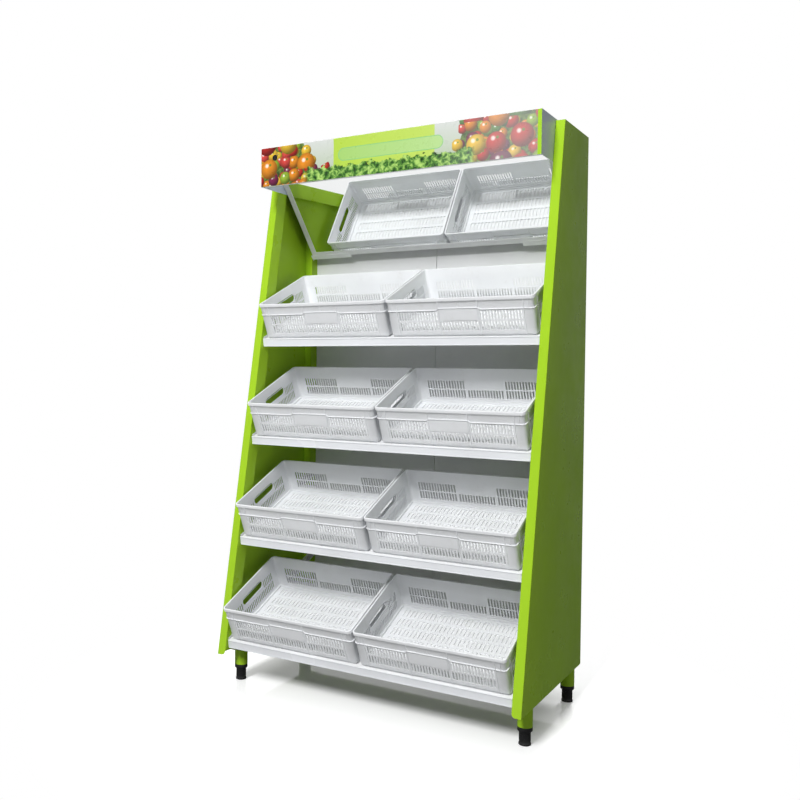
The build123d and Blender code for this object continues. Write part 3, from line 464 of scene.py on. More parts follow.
def header_print():
    """Printed front of the header: fruit at both ends, leaves below and a plain lime field between."""
    material, tree, shader = new_material("header_print")
    where = place(tree, "ShaderNodeTexCoord").outputs["Object"]
    split = place(tree, "ShaderNodeSeparateXYZ", {0: where})
    low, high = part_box("fascia_print")
    across, up = split.outputs["X"], calculate(tree, "SUBTRACT", split.outputs["Z"], low.z)
    tall = high.z - low.z
    flat = place(tree, "ShaderNodeCombineXYZ", {"X": across, "Y": up}).outputs[0]

    ground = blend_colour(tree, spread(tree, up, 0.0, tall), (0.42, 0.52, 0.34), (0.62, 0.65, 0.62))
    lime_wave = calculate(tree, "MULTIPLY", calculate(tree, "SINE", calculate(tree, "MULTIPLY", across, 16.0)), 0.02)
    reach = calculate(tree, "ADD", calculate(tree, "ABSOLUTE", calculate(tree, "ADD", across, 0.03)), lime_wave)
    field = spread(tree, reach, 0.215, 0.216, 1.0, 0.0)
    lime = blend_colour(tree, spread(tree, across, -0.3, 0.3), (0.42, 0.62, 0.06), (0.52, 0.68, 0.14))
    picture = blend_colour(tree, field, ground, lime)

    fruit = shared_group("round_fruit", build_fruit)

    def heap(point, reach_from):
        """How far a point lies inside the two heaps, which lean down towards the middle."""
        parts = place(tree, "ShaderNodeSeparateXYZ", {0: point})
        side = calculate(tree, "ABSOLUTE", calculate(tree, "ADD", parts.outputs["X"], 0.015))
        slope = calculate(tree, "MULTIPLY", parts.outputs["Y"], -0.55)
        swell = calculate(tree, "SINE", calculate(tree, "MULTIPLY", parts.outputs["X"], 23.0))
        edge = calculate(tree, "ADD", calculate(tree, "ADD", side, slope), calculate(tree, "MULTIPLY", swell, 0.028))
        return spread(tree, edge, reach_from, reach_from + 0.0004)

    leaf_noise = noise(tree, flat, 55.0, 4.0, 0.7)
    behind = blend_colour(tree, spread(tree, leaf_noise, 0.38, 0.62), (0.025, 0.055, 0.012), (0.16, 0.26, 0.05))
    picture = blend_colour(tree, heap(flat, 0.250), picture, behind)
    layers = (
        (0.040, 0.85, 0.37, (0.011, 0.019, 0), 0.222),
        (0.052, 0.60, 0.10, (0.004, -0.006, 0), 0.240),
        (0.086, 0.35, 0.73, (0.031, 0.034, 0), 0.275),
    )
    for size, loose, ripe, shift, start_at in layers:
        moved = place(tree, "ShaderNodeVectorMath", {0: flat, 1: shift}, operation="ADD").outputs[0]
        layer = place(tree, "ShaderNodeGroup", node_tree=fruit)
        tree.links.new(moved, layer.inputs["Vector"])
        layer.inputs["Size"].default_value = size
        layer.inputs["Loose"].default_value = loose
        layer.inputs["Ripe"].default_value = ripe
        back = place(tree, "ShaderNodeVectorMath", {0: layer.outputs["Centre"], 1: shift}, operation="SUBTRACT")
        shown = calculate(tree, "MULTIPLY", layer.outputs["Mask"], heap(back.outputs[0], start_at))
        if size > 0.06:
            some = place(tree, "ShaderNodeTexWhiteNoise", {"Vector": layer.outputs["Centre"]}, noise_dimensions="2D")
            shown = calculate(tree, "MULTIPLY", shown, calculate(tree, "LESS_THAN", some.outputs["Value"], 0.55))
        picture = blend_colour(tree, shown, picture, layer.outputs["Colour"])

    wander = place(tree, "ShaderNodeTexNoise", {"Vector": flat, "Scale": 60.0, "Detail": 3.0})
    bent = place(
        tree, "ShaderNodeVectorMath", {0: wander.outputs["Color"], 1: (0.022, 0.022, 0), 2: flat}, operation="MULTIPLY_ADD"
    )
    leaf_cells = place(
        tree,
        "ShaderNodeTexVoronoi",
        {"Vector": bent.outputs[0], "Scale": 62.0, "Randomness": 1.0},
        voronoi_dimensions="2D",
        feature="F2",
    )
    frill = spread(tree, leaf_cells.outputs["Distance"], 0.35, 1.0)
    leaf_dark = blend_colour(tree, spread(tree, frill, 0.0, 0.5), (0.012, 0.045, 0.008), (0.07, 0.22, 0.03))
    green_leaf = blend_colour(tree, spread(tree, frill, 0.45, 1.0), leaf_dark, (0.42, 0.66, 0.16))
    leaf_top = calculate(tree, "ADD", 0.012, calculate(tree, "MULTIPLY", noise(tree, flat, 30.0, 4.0, 0.7), 0.070))
    leaf_edge = calculate(tree, "SUBTRACT", leaf_top, up)
    leafy = calculate(tree, "MULTIPLY", spread(tree, leaf_edge, 0.0, 0.002), spread(tree, reach, 0.33, 0.35, 1.0, 0.0))
    picture = blend_colour(tree, leafy, picture, green_leaf)

    bar_x = calculate(tree, "MAXIMUM", calculate(tree, "SUBTRACT", calculate(tree, "ABSOLUTE", across), 0.190), 0.0)
    bar_z = calculate(tree, "SUBTRACT", up, 0.086)
    bar_point = place(tree, "ShaderNodeCombineXYZ", {"X": bar_x, "Y": bar_z}).outputs[0]
    from_bar = place(tree, "ShaderNodeVectorMath", {0: bar_point}, operation="LENGTH").outputs["Value"]
    picture = blend_colour(tree, spread(tree, from_bar, 0.0240, 0.0245, 1.0, 0.0), picture, (0.24, 0.56, 0.22))
    inner = blend_colour(tree, spread(tree, across, -0.2, 0.2), (0.36, 0.60, 0.16), (0.44, 0.66, 0.26))
    picture = blend_colour(tree, spread(tree, from_bar, 0.0212, 0.0218, 1.0, 0.0), picture, inner)

    faded = spread(tree, across, 0.12, 0.50, 0.0, 0.26, smooth=True)
    picture = blend_colour(tree, faded, picture, (0.78, 0.79, 0.78))
    trim = spread(tree, across, high.x - 0.0135, high.x - 0.0130)
    picture = blend_colour(tree, trim, picture, (0.36, 0.63, 0.03))
    tree.links.new(picture, shader.inputs["Base Color"])
    tree.links.new(spread(tree, noise(tree, where, 40.0), 0.3, 0.7, 0.26, 0.34), shader.inputs["Roughness"])
    ripple = place(tree, "ShaderNodeBump", {"Strength": 0.03, "Distance": 0.0005, "Height": noise(tree, where, 60.0)})
    tree.links.new(ripple.outputs["Normal"], shader.inputs["Normal"])
    return material


def dress(node_name, material):
    """Give a frame node a better material."""
    for material_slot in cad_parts[node_name].material_slots:
        material_slot.material = material


# Mesh helpers -------------------------------------------------------------------------------------------


def finish_mesh(name, mesh_data, materials, smooth=None):
    """An object at the origin from a bmesh, with its materials and shading."""
    mesh = bpy.data.meshes.new(name)
    mesh_data.to_mesh(mesh)
    mesh_data.free()
    return finish_object(name, mesh, materials, smooth)


def finish_object(name, mesh, materials, smooth=None):
    """An object at the origin from a mesh."""
    mesh.materials.clear()
    for material in materials:
        mesh.materials.append(material)
    piece = bpy.data.objects.new(name, mesh)
    bpy.context.scene.collection.objects.link(piece)
    if smooth is not None:
        mesh.shade_smooth()
        mesh.set_sharp_from_angle(angle=math.radians(smooth))
    return piece


def apply_modifiers(piece):
    """Turn the evaluated object into its own plain mesh."""
    graph = bpy.context.evaluated_depsgraph_get()
    graph.update()
    mesh = bpy.data.meshes.new_from_object(piece.evaluated_get(graph), depsgraph=graph)
    piece.modifiers.clear()
    old = piece.data
    piece.data = mesh
    mesh.name = old.name
    used = {polygon.material_index for polygon in mesh.polygons}
    for index in reversed(range(len(mesh.materials))):
        if index not in used:
            mesh.materials.pop(index=index)
    return piece


def soften(piece, width, segments=2, angle=40.0):
    """Round a piece's hard edges."""
    bevel = piece.modifiers.new("edges", "BEVEL")
    bevel.width = width
    bevel.segments = segments
    bevel.limit_method = "ANGLE"
    bevel.angle_limit = math.radians(angle)
    bevel.harden_normals = False
    apply_modifiers(piece)
    piece.data.shade_smooth()
    piece.data.set_sharp_from_angle(angle=math.radians(32))
    return piece


def stands_for(piece, body, slot, *nodes):
    """Attach a finished piece to its body and hide the frame nodes that it replaces. Its slot is not used."""
    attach(piece, body)
    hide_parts(*nodes)
    return piece


def turned(mesh_data, profile, centre, facets, material_index=0):
    """Spin a closed profile of (radius, height) about a vertical axis through a point."""
    rings = []
    for radius, height in profile:
        if radius < 1e-7:
            rings.append([mesh_data.verts.new((centre[0], centre[1], height))])
            continue
        ring = []
        for step in range(facets):
            angle = 2 * math.pi * step / facets
            x, y = centre[0] + radius * math.cos(angle), centre[1] + radius * math.sin(angle)
            ring.append(mesh_data.verts.new((x, y, height)))
        rings.append(ring)
    for lower, upper in zip(rings, rings[1:] + rings[:1]):
        for step in range(facets):
            after = (step + 1) % facets
            corners = [lower[step % len(lower)], lower[after % len(lower)]]
            corners += [upper[after % len(upper)], upper[step % len(upper)]]
            corners = list(dict.fromkeys(corners))
            if len(corners) > 2:
                mesh_data.faces.new(corners).material_index = material_index
    bmesh.ops.recalc_face_normals(mesh_data, faces=mesh_data.faces)


def swept(mesh_data, rings, closed=True, capped=True):
    """Skin a list of rings of points, each ring closed, joined in order."""
    made = [[mesh_data.verts.new(point) for point in ring] for ring in rings]
    pairs = list(zip(made, made[1:] + made[:1])) if closed else list(zip(made, made[1:]))
    for first, second in pairs:
        count = len(first)
        for step in range(count):
            after = (step + 1) % count
            mesh_data.faces.new((first[step], first[after], second[after], second[step]))
    if not closed and capped:
        mesh_data.faces.new(made[0][::-1])
        mesh_data.faces.new(made[-1])
    return made


def box_between(mesh_data, low, high, matrix=Matrix.Identity(4)):
    """A box between two corners, in a piece's own axes."""
    corners = [(x, y, z) for z in (low[2], high[2]) for y in (low[1], high[1]) for x in (low[0], high[0])]
    verts = [mesh_data.verts.new(matrix @ Vector(corner)) for corner in corners]
    for face in ((0, 2, 3, 1), (4, 5, 7, 6), (0, 1, 5, 4), (2, 6, 7, 3), (0, 4, 6, 2), (1, 3, 7, 5)):
        mesh_data.faces.new([verts[index] for index in face])


def islands(node_name):
    """Lowest and highest corners of each loose solid in a frame node."""
    copy = bmesh.new()
    copy.from_mesh(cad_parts[node_name].data)
    bmesh.ops.remove_doubles(copy, verts=copy.verts, dist=1e-6)
    unseen = set(copy.verts)
    found = []
    while unseen:
        stack = [unseen.pop()]
        points = []
        while stack:
            vert = stack.pop()
            points.append(vert.co.copy())
            for edge in vert.link_edges:
                other = edge.other_vert(vert)
                if other in unseen:
                    unseen.discard(other)
                    stack.append(other)
        low = Vector([min(point[axis] for point in points) for axis in range(3)])
        high = Vector([max(point[axis] for point in points) for axis in range(3)])
        found.append((low, high))
    copy.free()
    return sorted(found, key=lambda ends: tuple(round(value, 4) for value in ends[0]))


# Crates -------------------------------------------------------------------------------------------------


def rounded_loop(length, depth, corner, inset, segments=7):
    """Points round a rounded rectangle that is drawn in by an inset, anticlockwise from above."""
    radius = max(corner - inset, 0.001)
    middles = (
        (length - inset - radius, depth - inset - radius, 0),
        (inset + radius, depth - inset - radius, 1),
        (inset + radius, inset + radius, 2),
        (length - inset - radius, inset + radius, 3),
    )
    points = []
    for x, y, quarter in middles:
        for step in range(segments + 1):
            angle = math.pi / 2 * (quarter + step / segments)
            points.append((x + radius * math.cos(angle), y + radius * math.sin(angle)))
    return points


def crate_shell(settings):
    """Closed shell of the crate, with rounded rim, stacking foot and coved floor, before its slots."""
    inner = settings.skin + settings.wall
    foot_inner = settings.foot_inset + settings.wall
    rim_low = settings.height - settings.rim
    ledge = settings.foot + settings.wall
    floor = 0.003
    r = 0.0012
    profile = [
        (settings.foot_inset + r, 0.0),
        (settings.foot_inset + r * 0.3, r * 0.3),
        (settings.foot_inset, r),
        (settings.foot_inset, settings.foot - r),
        (settings.foot_inset - r * 0.3, settings.foot - r * 0.3),
        (settings.foot_inset - r, settings.foot),
        (settings.skin + r, settings.foot),
        (settings.skin + r * 0.3, settings.foot + r * 0.3),
        (settings.skin, settings.foot + r),
        (settings.skin, rim_low - r),
        (settings.skin - r * 0.3, rim_low - r * 0.3),
        (settings.skin - r, rim_low),
        (r * 0.6, rim_low),
        (0.0, rim_low + r * 0.6),
        (0.0, settings.height - 1.6 * r),
        (r * 0.45, settings.height - r * 0.45),
        (1.6 * r, settings.height),
        (inner - 1.6 * r, settings.height),
        (inner - r * 0.45, settings.height - r * 0.45),
        (inner, settings.height - 1.6 * r),
        (inner, ledge + 2 * r),
        (inner + 0.6 * r, ledge + 0.6 * r),
        (inner + 2 * r, ledge),
        (foot_inner + 0.2 * r, ledge - 0.2 * r),
        (foot_inner + 0.4 * r, floor + 2 * r),
        (foot_inner + r, floor + 0.6 * r),
        (foot_inner + 2.4 * r, floor),
    ]
    mesh_data = bmesh.new()
    rings = []
    for inset, z in profile:
        loop = rounded_loop(settings.length, settings.depth, settings.corner, inset)
        rings.append([(x, y, z) for x, y in loop])
    made = swept(mesh_data, rings, closed=False, capped=False)
    mesh_data.faces.new(made[0][::-1])
    mesh_data.faces.new(made[-1])
    bmesh.ops.recalc_face_normals(mesh_data, faces=mesh_data.faces)
    return mesh_data


def slot_row_group():
    """Geometry group: a row of slot cutters spread between two ribs, through the two walls square to Y."""
    tree, start, end = new_group(
        "GeometryNodeTree",
        "slot_row",
        [
            ("Start", "Float", 0.0),
            ("End", "Float", 0.1),
            ("Margin", "Float", 0.008),
            ("Pitch", "Float", 0.011),
            ("Width", "Float", 0.0055),
            ("Height", "Float", 0.032),
            ("Level", "Float", 0.04),
            ("Across", "Float", 0.36),
            ("Corner", "Float", 0.0012),
        ],
        [("Cutters", "Geometry", None)],
    )
    into = start.outputs
    span = calculate(tree, "SUBTRACT", into["End"], into["Start"])
    usable = calculate(tree, "SUBTRACT", span, calculate(tree, "MULTIPLY", into["Margin"], 2.0))
    gaps = calculate(tree, "FLOOR", calculate(tree, "ADD", calculate(tree, "DIVIDE", usable, into["Pitch"]), 0.0001))
    count = calculate(tree, "ADD", gaps, 1.0)
    run = calculate(tree, "MULTIPLY", gaps, into["Pitch"])
    middle = calculate(tree, "MULTIPLY", calculate(tree, "ADD", into["Start"], into["End"]), 0.5)
    first = calculate(tree, "SUBTRACT", middle, calculate(tree, "MULTIPLY", run, 0.5))
    line_start = place(tree, "ShaderNodeCombineXYZ", {"X": first, "Y": -CUTTER_START, "Z": into["Level"]})
    step = place(tree, "ShaderNodeCombineXYZ", {"X": into["Pitch"]})
    line = place(
        tree,
        "GeometryNodeMeshLine",
        {"Count": count, "Start Location": line_start.outputs[0], "Offset": step.outputs[0]},
        mode="OFFSET",
    )
    outline = place(
        tree,
        "GeometryNodeCurvePrimitiveQuadrilateral",
        {"Width": into["Width"], "Height": into["Height"]},
        mode="RECTANGLE",
    )
    rounded = place(
        tree,
        "GeometryNodeFilletCurve",
        {"Curve": outline.outputs[0], "Radius": into["Corner"], "Count": 3, "Limit Radius": True},
        mode="POLY",
    )
    path = place(tree, "GeometryNodeCurvePrimitiveLine", {"Start": (0, 0, 0), "End": (0, 0, 0.03)}, mode="POINTS")
    prism = place(
        tree,
        "GeometryNodeCurveToMesh",
        {"Curve": path.outputs[0], "Profile Curve": rounded.outputs[0], "Fill Caps": True},
    )
    laid = place(
        tree, "GeometryNodeTransform", {"Geometry": prism.outputs[0], "Rotation": (-math.pi / 2, 0.0, 0.0)}
    )
    copies = place(tree, "GeometryNodeInstanceOnPoints", {"Points": line.outputs[0], "Instance": laid.outputs[0]})
    far = calculate(tree, "SUBTRACT", into["Across"], CUTTER_START)
    over = place(tree, "ShaderNodeCombineXYZ", {"Y": far})
    opposite = place(
        tree, "GeometryNodeTransform", {"Geometry": copies.outputs[0], "Translation": over.outputs[0]}
    )
    both = place(tree, "GeometryNodeJoinGeometry")
    tree.links.new(copies.outputs[0], both.inputs[0])
    tree.links.new(opposite.outputs[0], both.inputs[0])
    tree.links.new(both.outputs[0], end.inputs["Cutters"])
    return tree


def vent_tree(plastic):
    """Geometry tree: cuts the crate's vent slots, hand holes and floor lattice out of its shell."""
    tree, start, end = new_group(
        "GeometryNodeTree",
        "crate_vents",
        [
            ("Shell", "Geometry", None),
            ("Length", "Float", 0.556),
            ("Depth", "Float", 0.36),
            ("Slot Width", "Float", 0.0055),
            ("Slot Height", "Float", 0.032),
            ("Slot Pitch", "Float", 0.011),
            ("Rib Inset", "Float", 0.041),
            ("End Rib Inset", "Float", 0.038),
            ("Label Rib Offset", "Float", 0.074),
            ("Upper Level", "Float", 0.078),
            ("Lower Level", "Float", 0.040),
            ("Hole Length", "Float", 0.136),
            ("Hole Height", "Float", 0.030),
            ("Hole Level", "Float", 0.091),
        ],
        [("Crate", "Geometry", None)],
    )
    into = start.outputs
    row = slot_row_group()

    def slot_row(first, last, level, **more):
        values = {
            "Start": first,
            "End": last,
            "Level": level,
            "Pitch": into["Slot Pitch"],
            "Width": into["Slot Width"],
            "Height": into["Slot Height"],
            **more,
        }
        group = place(tree, "GeometryNodeGroup", node_tree=row)
        for key, value in values.items():
            if isinstance(value, bpy.types.NodeSocket):
                tree.links.new(value, group.inputs[key])
            else:
                group.inputs[key].default_value = value
        return group.outputs[0]

    half = calculate(tree, "MULTIPLY", into["Length"], 0.5)
    last_rib = calculate(tree, "SUBTRACT", into["Length"], into["Rib Inset"])
    left_label = calculate(tree, "SUBTRACT", half, into["Label Rib Offset"])
    right_label = calculate(tree, "ADD", half, into["Label Rib Offset"])
    across = into["Depth"]
    long_rows = [
        slot_row(into["Rib Inset"], left_label, into["Upper Level"], Across=across),
        slot_row(right_label, last_rib, into["Upper Level"], Across=across),
        slot_row(into["Rib Inset"], left_label, into["Lower Level"], Across=across),
        slot_row(left_label, right_label, into["Lower Level"], Across=across),
        slot_row(right_label, last_rib, into["Lower Level"], Across=across),
    ]
    half_depth = calculate(tree, "MULTIPLY", into["Depth"], 0.5)
    half_hole = calculate(tree, "MULTIPLY", into["Hole Length"], 0.5)
    last_end_rib = calculate(tree, "SUBTRACT", into["Depth"], into["End Rib Inset"])
    hole_start = calculate(tree, "SUBTRACT", half_depth, half_hole)
    hole_end = calculate(tree, "ADD", half_depth, half_hole)
    along = into["Length"]
    end_rows = [
        slot_row(into["End Rib Inset"], last_end_rib, into["Lower Level"], Across=along),
        slot_row(into["End Rib Inset"], hole_start, into["Upper Level"], Across=along),
        slot_row(hole_end, last_end_rib, into["Upper Level"], Across=along),
        slot_row(
            hole_start,
            hole_end,
            into["Hole Level"],
            Across=along,
            Pitch=1.0,
            Margin=0.0,
            Width=into["Hole Length"],
            Height=into["Hole Height"],
            Corner=0.0149,
        ),
    ]
    crossing = place(tree, "GeometryNodeJoinGeometry")
    for rows in end_rows:
        tree.links.new(rows, crossing.inputs[0])
    full = place(tree, "ShaderNodeCombineXYZ", {"X": into["Length"]})
    turned_rows = place(
        tree,
        "GeometryNodeTransform",
        {"Geometry": crossing.outputs[0], "Translation": full.outputs[0], "Rotation": (0.0, 0.0, math.pi / 2)},
    )
    grid = place(
        tree,
        "GeometryNodeMeshGrid",
        {
            "Size X": calculate(tree, "SUBTRACT", into["Length"], 0.075),
            "Size Y": calculate(tree, "SUBTRACT", into["Depth"], 0.092),
            "Vertices X": 32,
            "Vertices Y": 6,
        },
    )
    tile_curve = place(
        tree, "GeometryNodeCurvePrimitiveQuadrilateral", {"Width": 0.0095, "Height": 0.041}, mode="RECTANGLE"
    )
    tile_round = place(
        tree, "GeometryNodeFilletCurve", {"Curve": tile_curve.outputs[0], "Radius": 0.002, "Count": 3}, mode="POLY"
    )
    tile_path = place(
        tree, "GeometryNodeCurvePrimitiveLine", {"Start": (0, 0, -0.002), "End": (0, 0, 0.006)}, mode="POINTS"
    )
    tile = place(
        tree,
        "GeometryNodeCurveToMesh",
        {"Curve": tile_path.outputs[0], "Profile Curve": tile_round.outputs[0], "Fill Caps": True},
    )
    centre = place(tree, "ShaderNodeCombineXYZ", {"X": half, "Y": half_depth})
    spread_grid = place(
        tree, "GeometryNodeTransform", {"Geometry": grid.outputs[0], "Translation": centre.outputs[0]}
    )
    lattice = place(
        tree, "GeometryNodeInstanceOnPoints", {"Points": spread_grid.outputs[0], "Instance": tile.outputs[0]}
    )
    cutters = place(tree, "GeometryNodeJoinGeometry")
    for rows in long_rows + [turned_rows.outputs[0], lattice.outputs[0]]:
        tree.links.new(rows, cutters.inputs[0])
    solid_cutters = place(tree, "GeometryNodeRealizeInstances", {0: cutters.outputs[0]})
    cut = place(tree, "GeometryNodeMeshBoolean", operation="DIFFERENCE", solver="MANIFOLD")
    tree.links.new(into["Shell"], cut.inputs[0])
    tree.links.new(solid_cutters.outputs[0], cut.inputs[1])
    real = place(tree, "GeometryNodeRealizeInstances", {0: cut.outputs[0]})
    coloured = place(tree, "GeometryNodeSetMaterial", {"Geometry": real.outputs[0], "Material": plastic})
    tree.links.new(coloured.outputs[0], end.inputs["Crate"])
    return tree


def set_input(modifier, label, value):
    """Set a Geometry Nodes modifier's input by its socket's identifier."""
    for item in modifier.node_group.interface.items_tree:
        if item.item_type == "SOCKET" and item.in_out == "INPUT" and item.name == label:
            modifier[item.identifier] = value
            return
    raise ValueError("no input named " + label)


def crate_ribs(mesh_data, settings):
    """Upright ribs, label panels and the stepped ledge on the crate's outside."""
    length, depth, skin = settings.length, settings.depth, settings.skin
    rim_low = settings.height - settings.rim
    middle = length / 2
    ledge_low, ledge_high, lift = 0.0985, 0.1015, 0.0065

    def rib(x0, x1, z0, z1, stand, wall_y, outward):
        near = wall_y - outward * 0.0006
        far = wall_y + outward * stand
        box_between(mesh_data, (x0, min(near, far), z0), (x1, max(near, far), z1))

    for wall_y, outward in ((skin, -1), (depth - skin, 1)):
        for x in (0.041, middle - 0.074, middle + 0.074, length - 0.041):
            rib(x - 0.00125, x + 0.00125, settings.foot + 0.001, rim_low + 0.002, 0.003, wall_y, outward)
        for x in (0.041 / 2 + 0.003, length - 0.041 / 2 - 0.003):
            rib(x - 0.0011, x + 0.0011, ledge_high, rim_low + 0.002, 0.0024, wall_y, outward)
        rib(middle - 0.0705, middle + 0.0705, 0.0605, ledge_low + lift - 0.0015, 0.0014, wall_y, outward)
        for x in (middle - 0.0025, middle + 0.0025):
            rib(x - 0.0008, x + 0.0008, ledge_high + lift, rim_low + 0.002, 0.0016, wall_y, outward)
    for wall_x, outward in ((skin, -1), (length - skin, 1)):
        for y in (0.038, depth - 0.038):
            near = wall_x - outward * 0.0006
            far = wall_x + outward * 0.003
            low = (min(near, far), y - 0.00125, settings.foot + 0.001)
            high = (max(near, far), y + 0.00125, rim_low + 0.002)
            box_between(mesh_data, low, high)
    loop = rounded_loop(length, depth, settings.corner, skin)
    steps = [(middle + 0.0815, 0.0), (middle + 0.0745, lift), (middle - 0.0745, lift), (middle - 0.0815, 0.0)]
    path = []
    for index, (x, y) in enumerate(loop):
        path.append((x, y, 0.0))
        after = loop[(index + 1) % len(loop)]
        if abs(y - after[1]) < 1e-6 and abs(x - after[0]) > 0.2:
            order = steps if x > after[0] else steps[::-1]
            path += [(step_x, y, rise) for step_x, rise in order]
    rings = []
    count = len(path)
    for index, (x, y, rise) in enumerate(path):
        before, after = path[index - 1], path[(index + 1) % count]
        along = Vector((after[0] - before[0], after[1] - before[1], 0.0)).normalized()
        out = Vector((along.y, -along.x, 0.0))
        base = Vector((x, y, rise))
        low_in, low_out = -0.0006 * out, 0.0030 * out
        rings.append(
            [
                base + low_in + Vector((0, 0, ledge_low)),
                base + low_out + Vector((0, 0, ledge_low + 0.0003)),
                base + low_out + Vector((0, 0, ledge_high - 0.0003)),
                base + low_in + Vector((0, 0, ledge_high)),
            ]
        )
    swept(mesh_data, rings)
    bmesh.ops.recalc_face_normals(mesh_data, faces=mesh_data.faces)


def crate_master(settings):
    """One finished crate at the origin: vented shell with its ribs."""
    plastic = moulded("vented_crate_white", settings.colour, wear=0.45, shine=0.36)
    shell = finish_mesh("crate_shell", crate_shell(settings), [plastic])
    vents = shell.modifiers.new("vents", "NODES")
    vents.node_group = vent_tree(plastic)
    for label, value in (
        ("Length", settings.length),
        ("Depth", settings.depth),
        ("Slot Width", settings.slot),
        ("Slot Height", settings.slot_height),
        ("Slot Pitch", settings.pitch),
    ):
        set_input(vents, label, value)
    apply_modifiers(shell)
    mesh_data = bmesh.new()
    mesh_data.from_mesh(shell.data)
    ribs = bmesh.new()
    crate_ribs(ribs, settings)
    bmesh.ops.bevel(
        ribs,
        geom=[edge for edge in ribs.edges if edge.calc_face_angle(0.0) > 1.0],
        offset=0.00045,
        segments=1,
        affect="EDGES",
    )
    rib_mesh = bpy.data.meshes.new("crate_ribs")
    ribs.to_mesh(rib_mesh)
    ribs.free()
    mesh_data.from_mesh(rib_mesh)
    bpy.data.meshes.remove(rib_mesh)
    bpy.data.objects.remove(shell)
    mesh = bpy.data.meshes.new("crate")
    mesh_data.to_mesh(mesh)
    mesh_data.free()
    mesh.materials.clear()
    mesh.materials.append(plastic)
    mesh.shade_smooth()
    mesh.set_sharp_from_angle(angle=math.radians(35))
    return mesh


class STAND_OT_crates(bpy.types.Operator):
    """Build the eight vented crates on their trays"""

    bl_idname = "stand.crates"
    bl_label = "Crates"

    def execute(self, context):
        settings = context.scene.crate_stand.crate
        master = crate_master(settings)
        for tier in TIERS:
            for side in SIDES:
                node = f"crate_{tier}_{side}"
                low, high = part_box(node)
                back = settings.height * math.sin(settings.tilt)
                sunk = settings.foot_inset * math.sin(settings.tilt)
                corner = Vector((low.x, low.y + back, low.z - sunk))
                mesh = master.copy()
                mesh.transform(Matrix.Translation(corner) @ Matrix.Rotation(settings.tilt, 4, "X"))
                mesh.name = node + "_moulding"
                piece = bpy.data.objects.new(node + "_moulding", mesh)
                context.scene.collection.objects.link(piece)
                stands_for(piece, node + "_body", "crate_plastic", node)
        bpy.data.meshes.remove(master)
        return {"FINISHED"}


# Casing -------------------------------------------------------------------------------------------------


def folded_panel(side, settings):
    """A side panel folded from one sheet: skin, front, top and rear flanges, and the front return lip."""
    low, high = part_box("side_panel_" + side)
    sign = -1 if side == "left" else 1
    outer = sign * max(abs(low.x), abs(high.x))
    inner = sign * min(abs(low.x), abs(high.x))
    co = [vert.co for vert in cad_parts["side_panel_" + side].data.vertices]
    top_front = min(point.y for point in co if point.z > high.z - 0.0005)
    bottom_front = low.y
    rear = high.y
    slope = (top_front - bottom_front) / (high.z - low.z)
    lip = settings.lip

    mesh_data = bmesh.new()
    new = mesh_data.verts.new
    a = [new((outer, bottom_front, low.z)), new((outer, top_front, high.z)), new((outer, rear, high.z))]
    a.append(new((outer, rear, low.z)))
    b = [None, new((inner, top_front, high.z)), new((inner, rear, high.z)), new((inner, rear, low.z))]
    radius = settings.corner
    turn_at = inner + sign * radius
    arc = []
    for angle in (0.0, math.pi / 6, math.pi / 3, math.pi / 2):
        rise = radius * (1 - math.cos(angle))
        arc.append(new((turn_at - sign * radius * math.sin(angle), bottom_front + slope * rise, low.z + rise)))
    lip_low = new((inner, bottom_front + lip + slope * radius, low.z + radius))
    lip_high = new((inner, top_front + lip, high.z))
    faces = [
        (a[0], a[1], a[2], a[3]),
        (a[0], *arc, b[1], a[1]),
        (a[1], b[1], lip_high, b[2], a[2]),
        (a[2], b[2], b[3], a[3]),
        (arc[-1], lip_low, lip_high, b[1]),
    ]
    for face in faces:
        mesh_data.faces.new(face)
    bmesh.ops.recalc_face_normals(mesh_data, faces=mesh_data.faces)
    skin = max(mesh_data.faces, key=lambda face: abs(face.calc_center_median().x))
    if skin.normal.x * sign < 0:
        bmesh.ops.reverse_faces(mesh_data, faces=mesh_data.faces)
    weight = mesh_data.edges.layers.float.new("bevel_weight_edge")
    for edge in mesh_data.edges:
        if edge.calc_face_angle(0.0) > math.radians(40):
            edge[weight] = settings.fold / settings.edge
    for corner, end in ((a[0], a[1]), (arc[-1], b[1])):
        mesh_data.edges.get((corner, end))[weight] = 1.0
    piece = finish_mesh("side_panel_" + side + "_sheet", mesh_data, [paint("green_powder_coat", settings.green)])
    folds = piece.modifiers.new("folds", "BEVEL")
    folds.width = settings.edge
    folds.segments = 5
    folds.limit_method = "WEIGHT"
    solid = piece.modifiers.new("sheet", "SOLIDIFY")
    solid.thickness = settings.sheet
    solid.offset = -1.0
    solid.use_even_offset = True
    apply_modifiers(piece)
    edges = piece.modifiers.new("edges", "BEVEL")
    edges.width = 0.0003
    edges.segments = 1
    edges.limit_method = "ANGLE"
    edges.angle_limit = math.radians(60)
    apply_modifiers(piece)
    piece.data.shade_smooth()
    piece.data.set_sharp_from_angle(angle=math.radians(35))
    return piece


class STAND_OT_casing(bpy.types.Operator):
    """Fold the side panels and paint the frame, back and cover"""

    bl_idname = "stand.casing"
    bl_label = "Casing"

    def execute(self, context):
        settings = context.scene.crate_stand.casing
        green = paint("green_powder_coat", settings.green)
        white = paint("white_powder_coat", settings.white, dust=0.10)
        for side in SIDES:
            stands_for(folded_panel(side, settings), "stand", "green_paint", "side_panel_" + side)
            dress("upright_" + side, green)
            dress("base_rail_" + side, green)
            dress("back_panel_" + side, white)
        for node in ("base_crossbar_front", "base_crossbar_rear", "top_crossbar"):
            dress(node, green)
        for node in ("back_seam_strip", "top_cover"):
            dress(node, white)
        return {"FINISHED"}


# Trays --------------------------------------------------------------------------------------------------


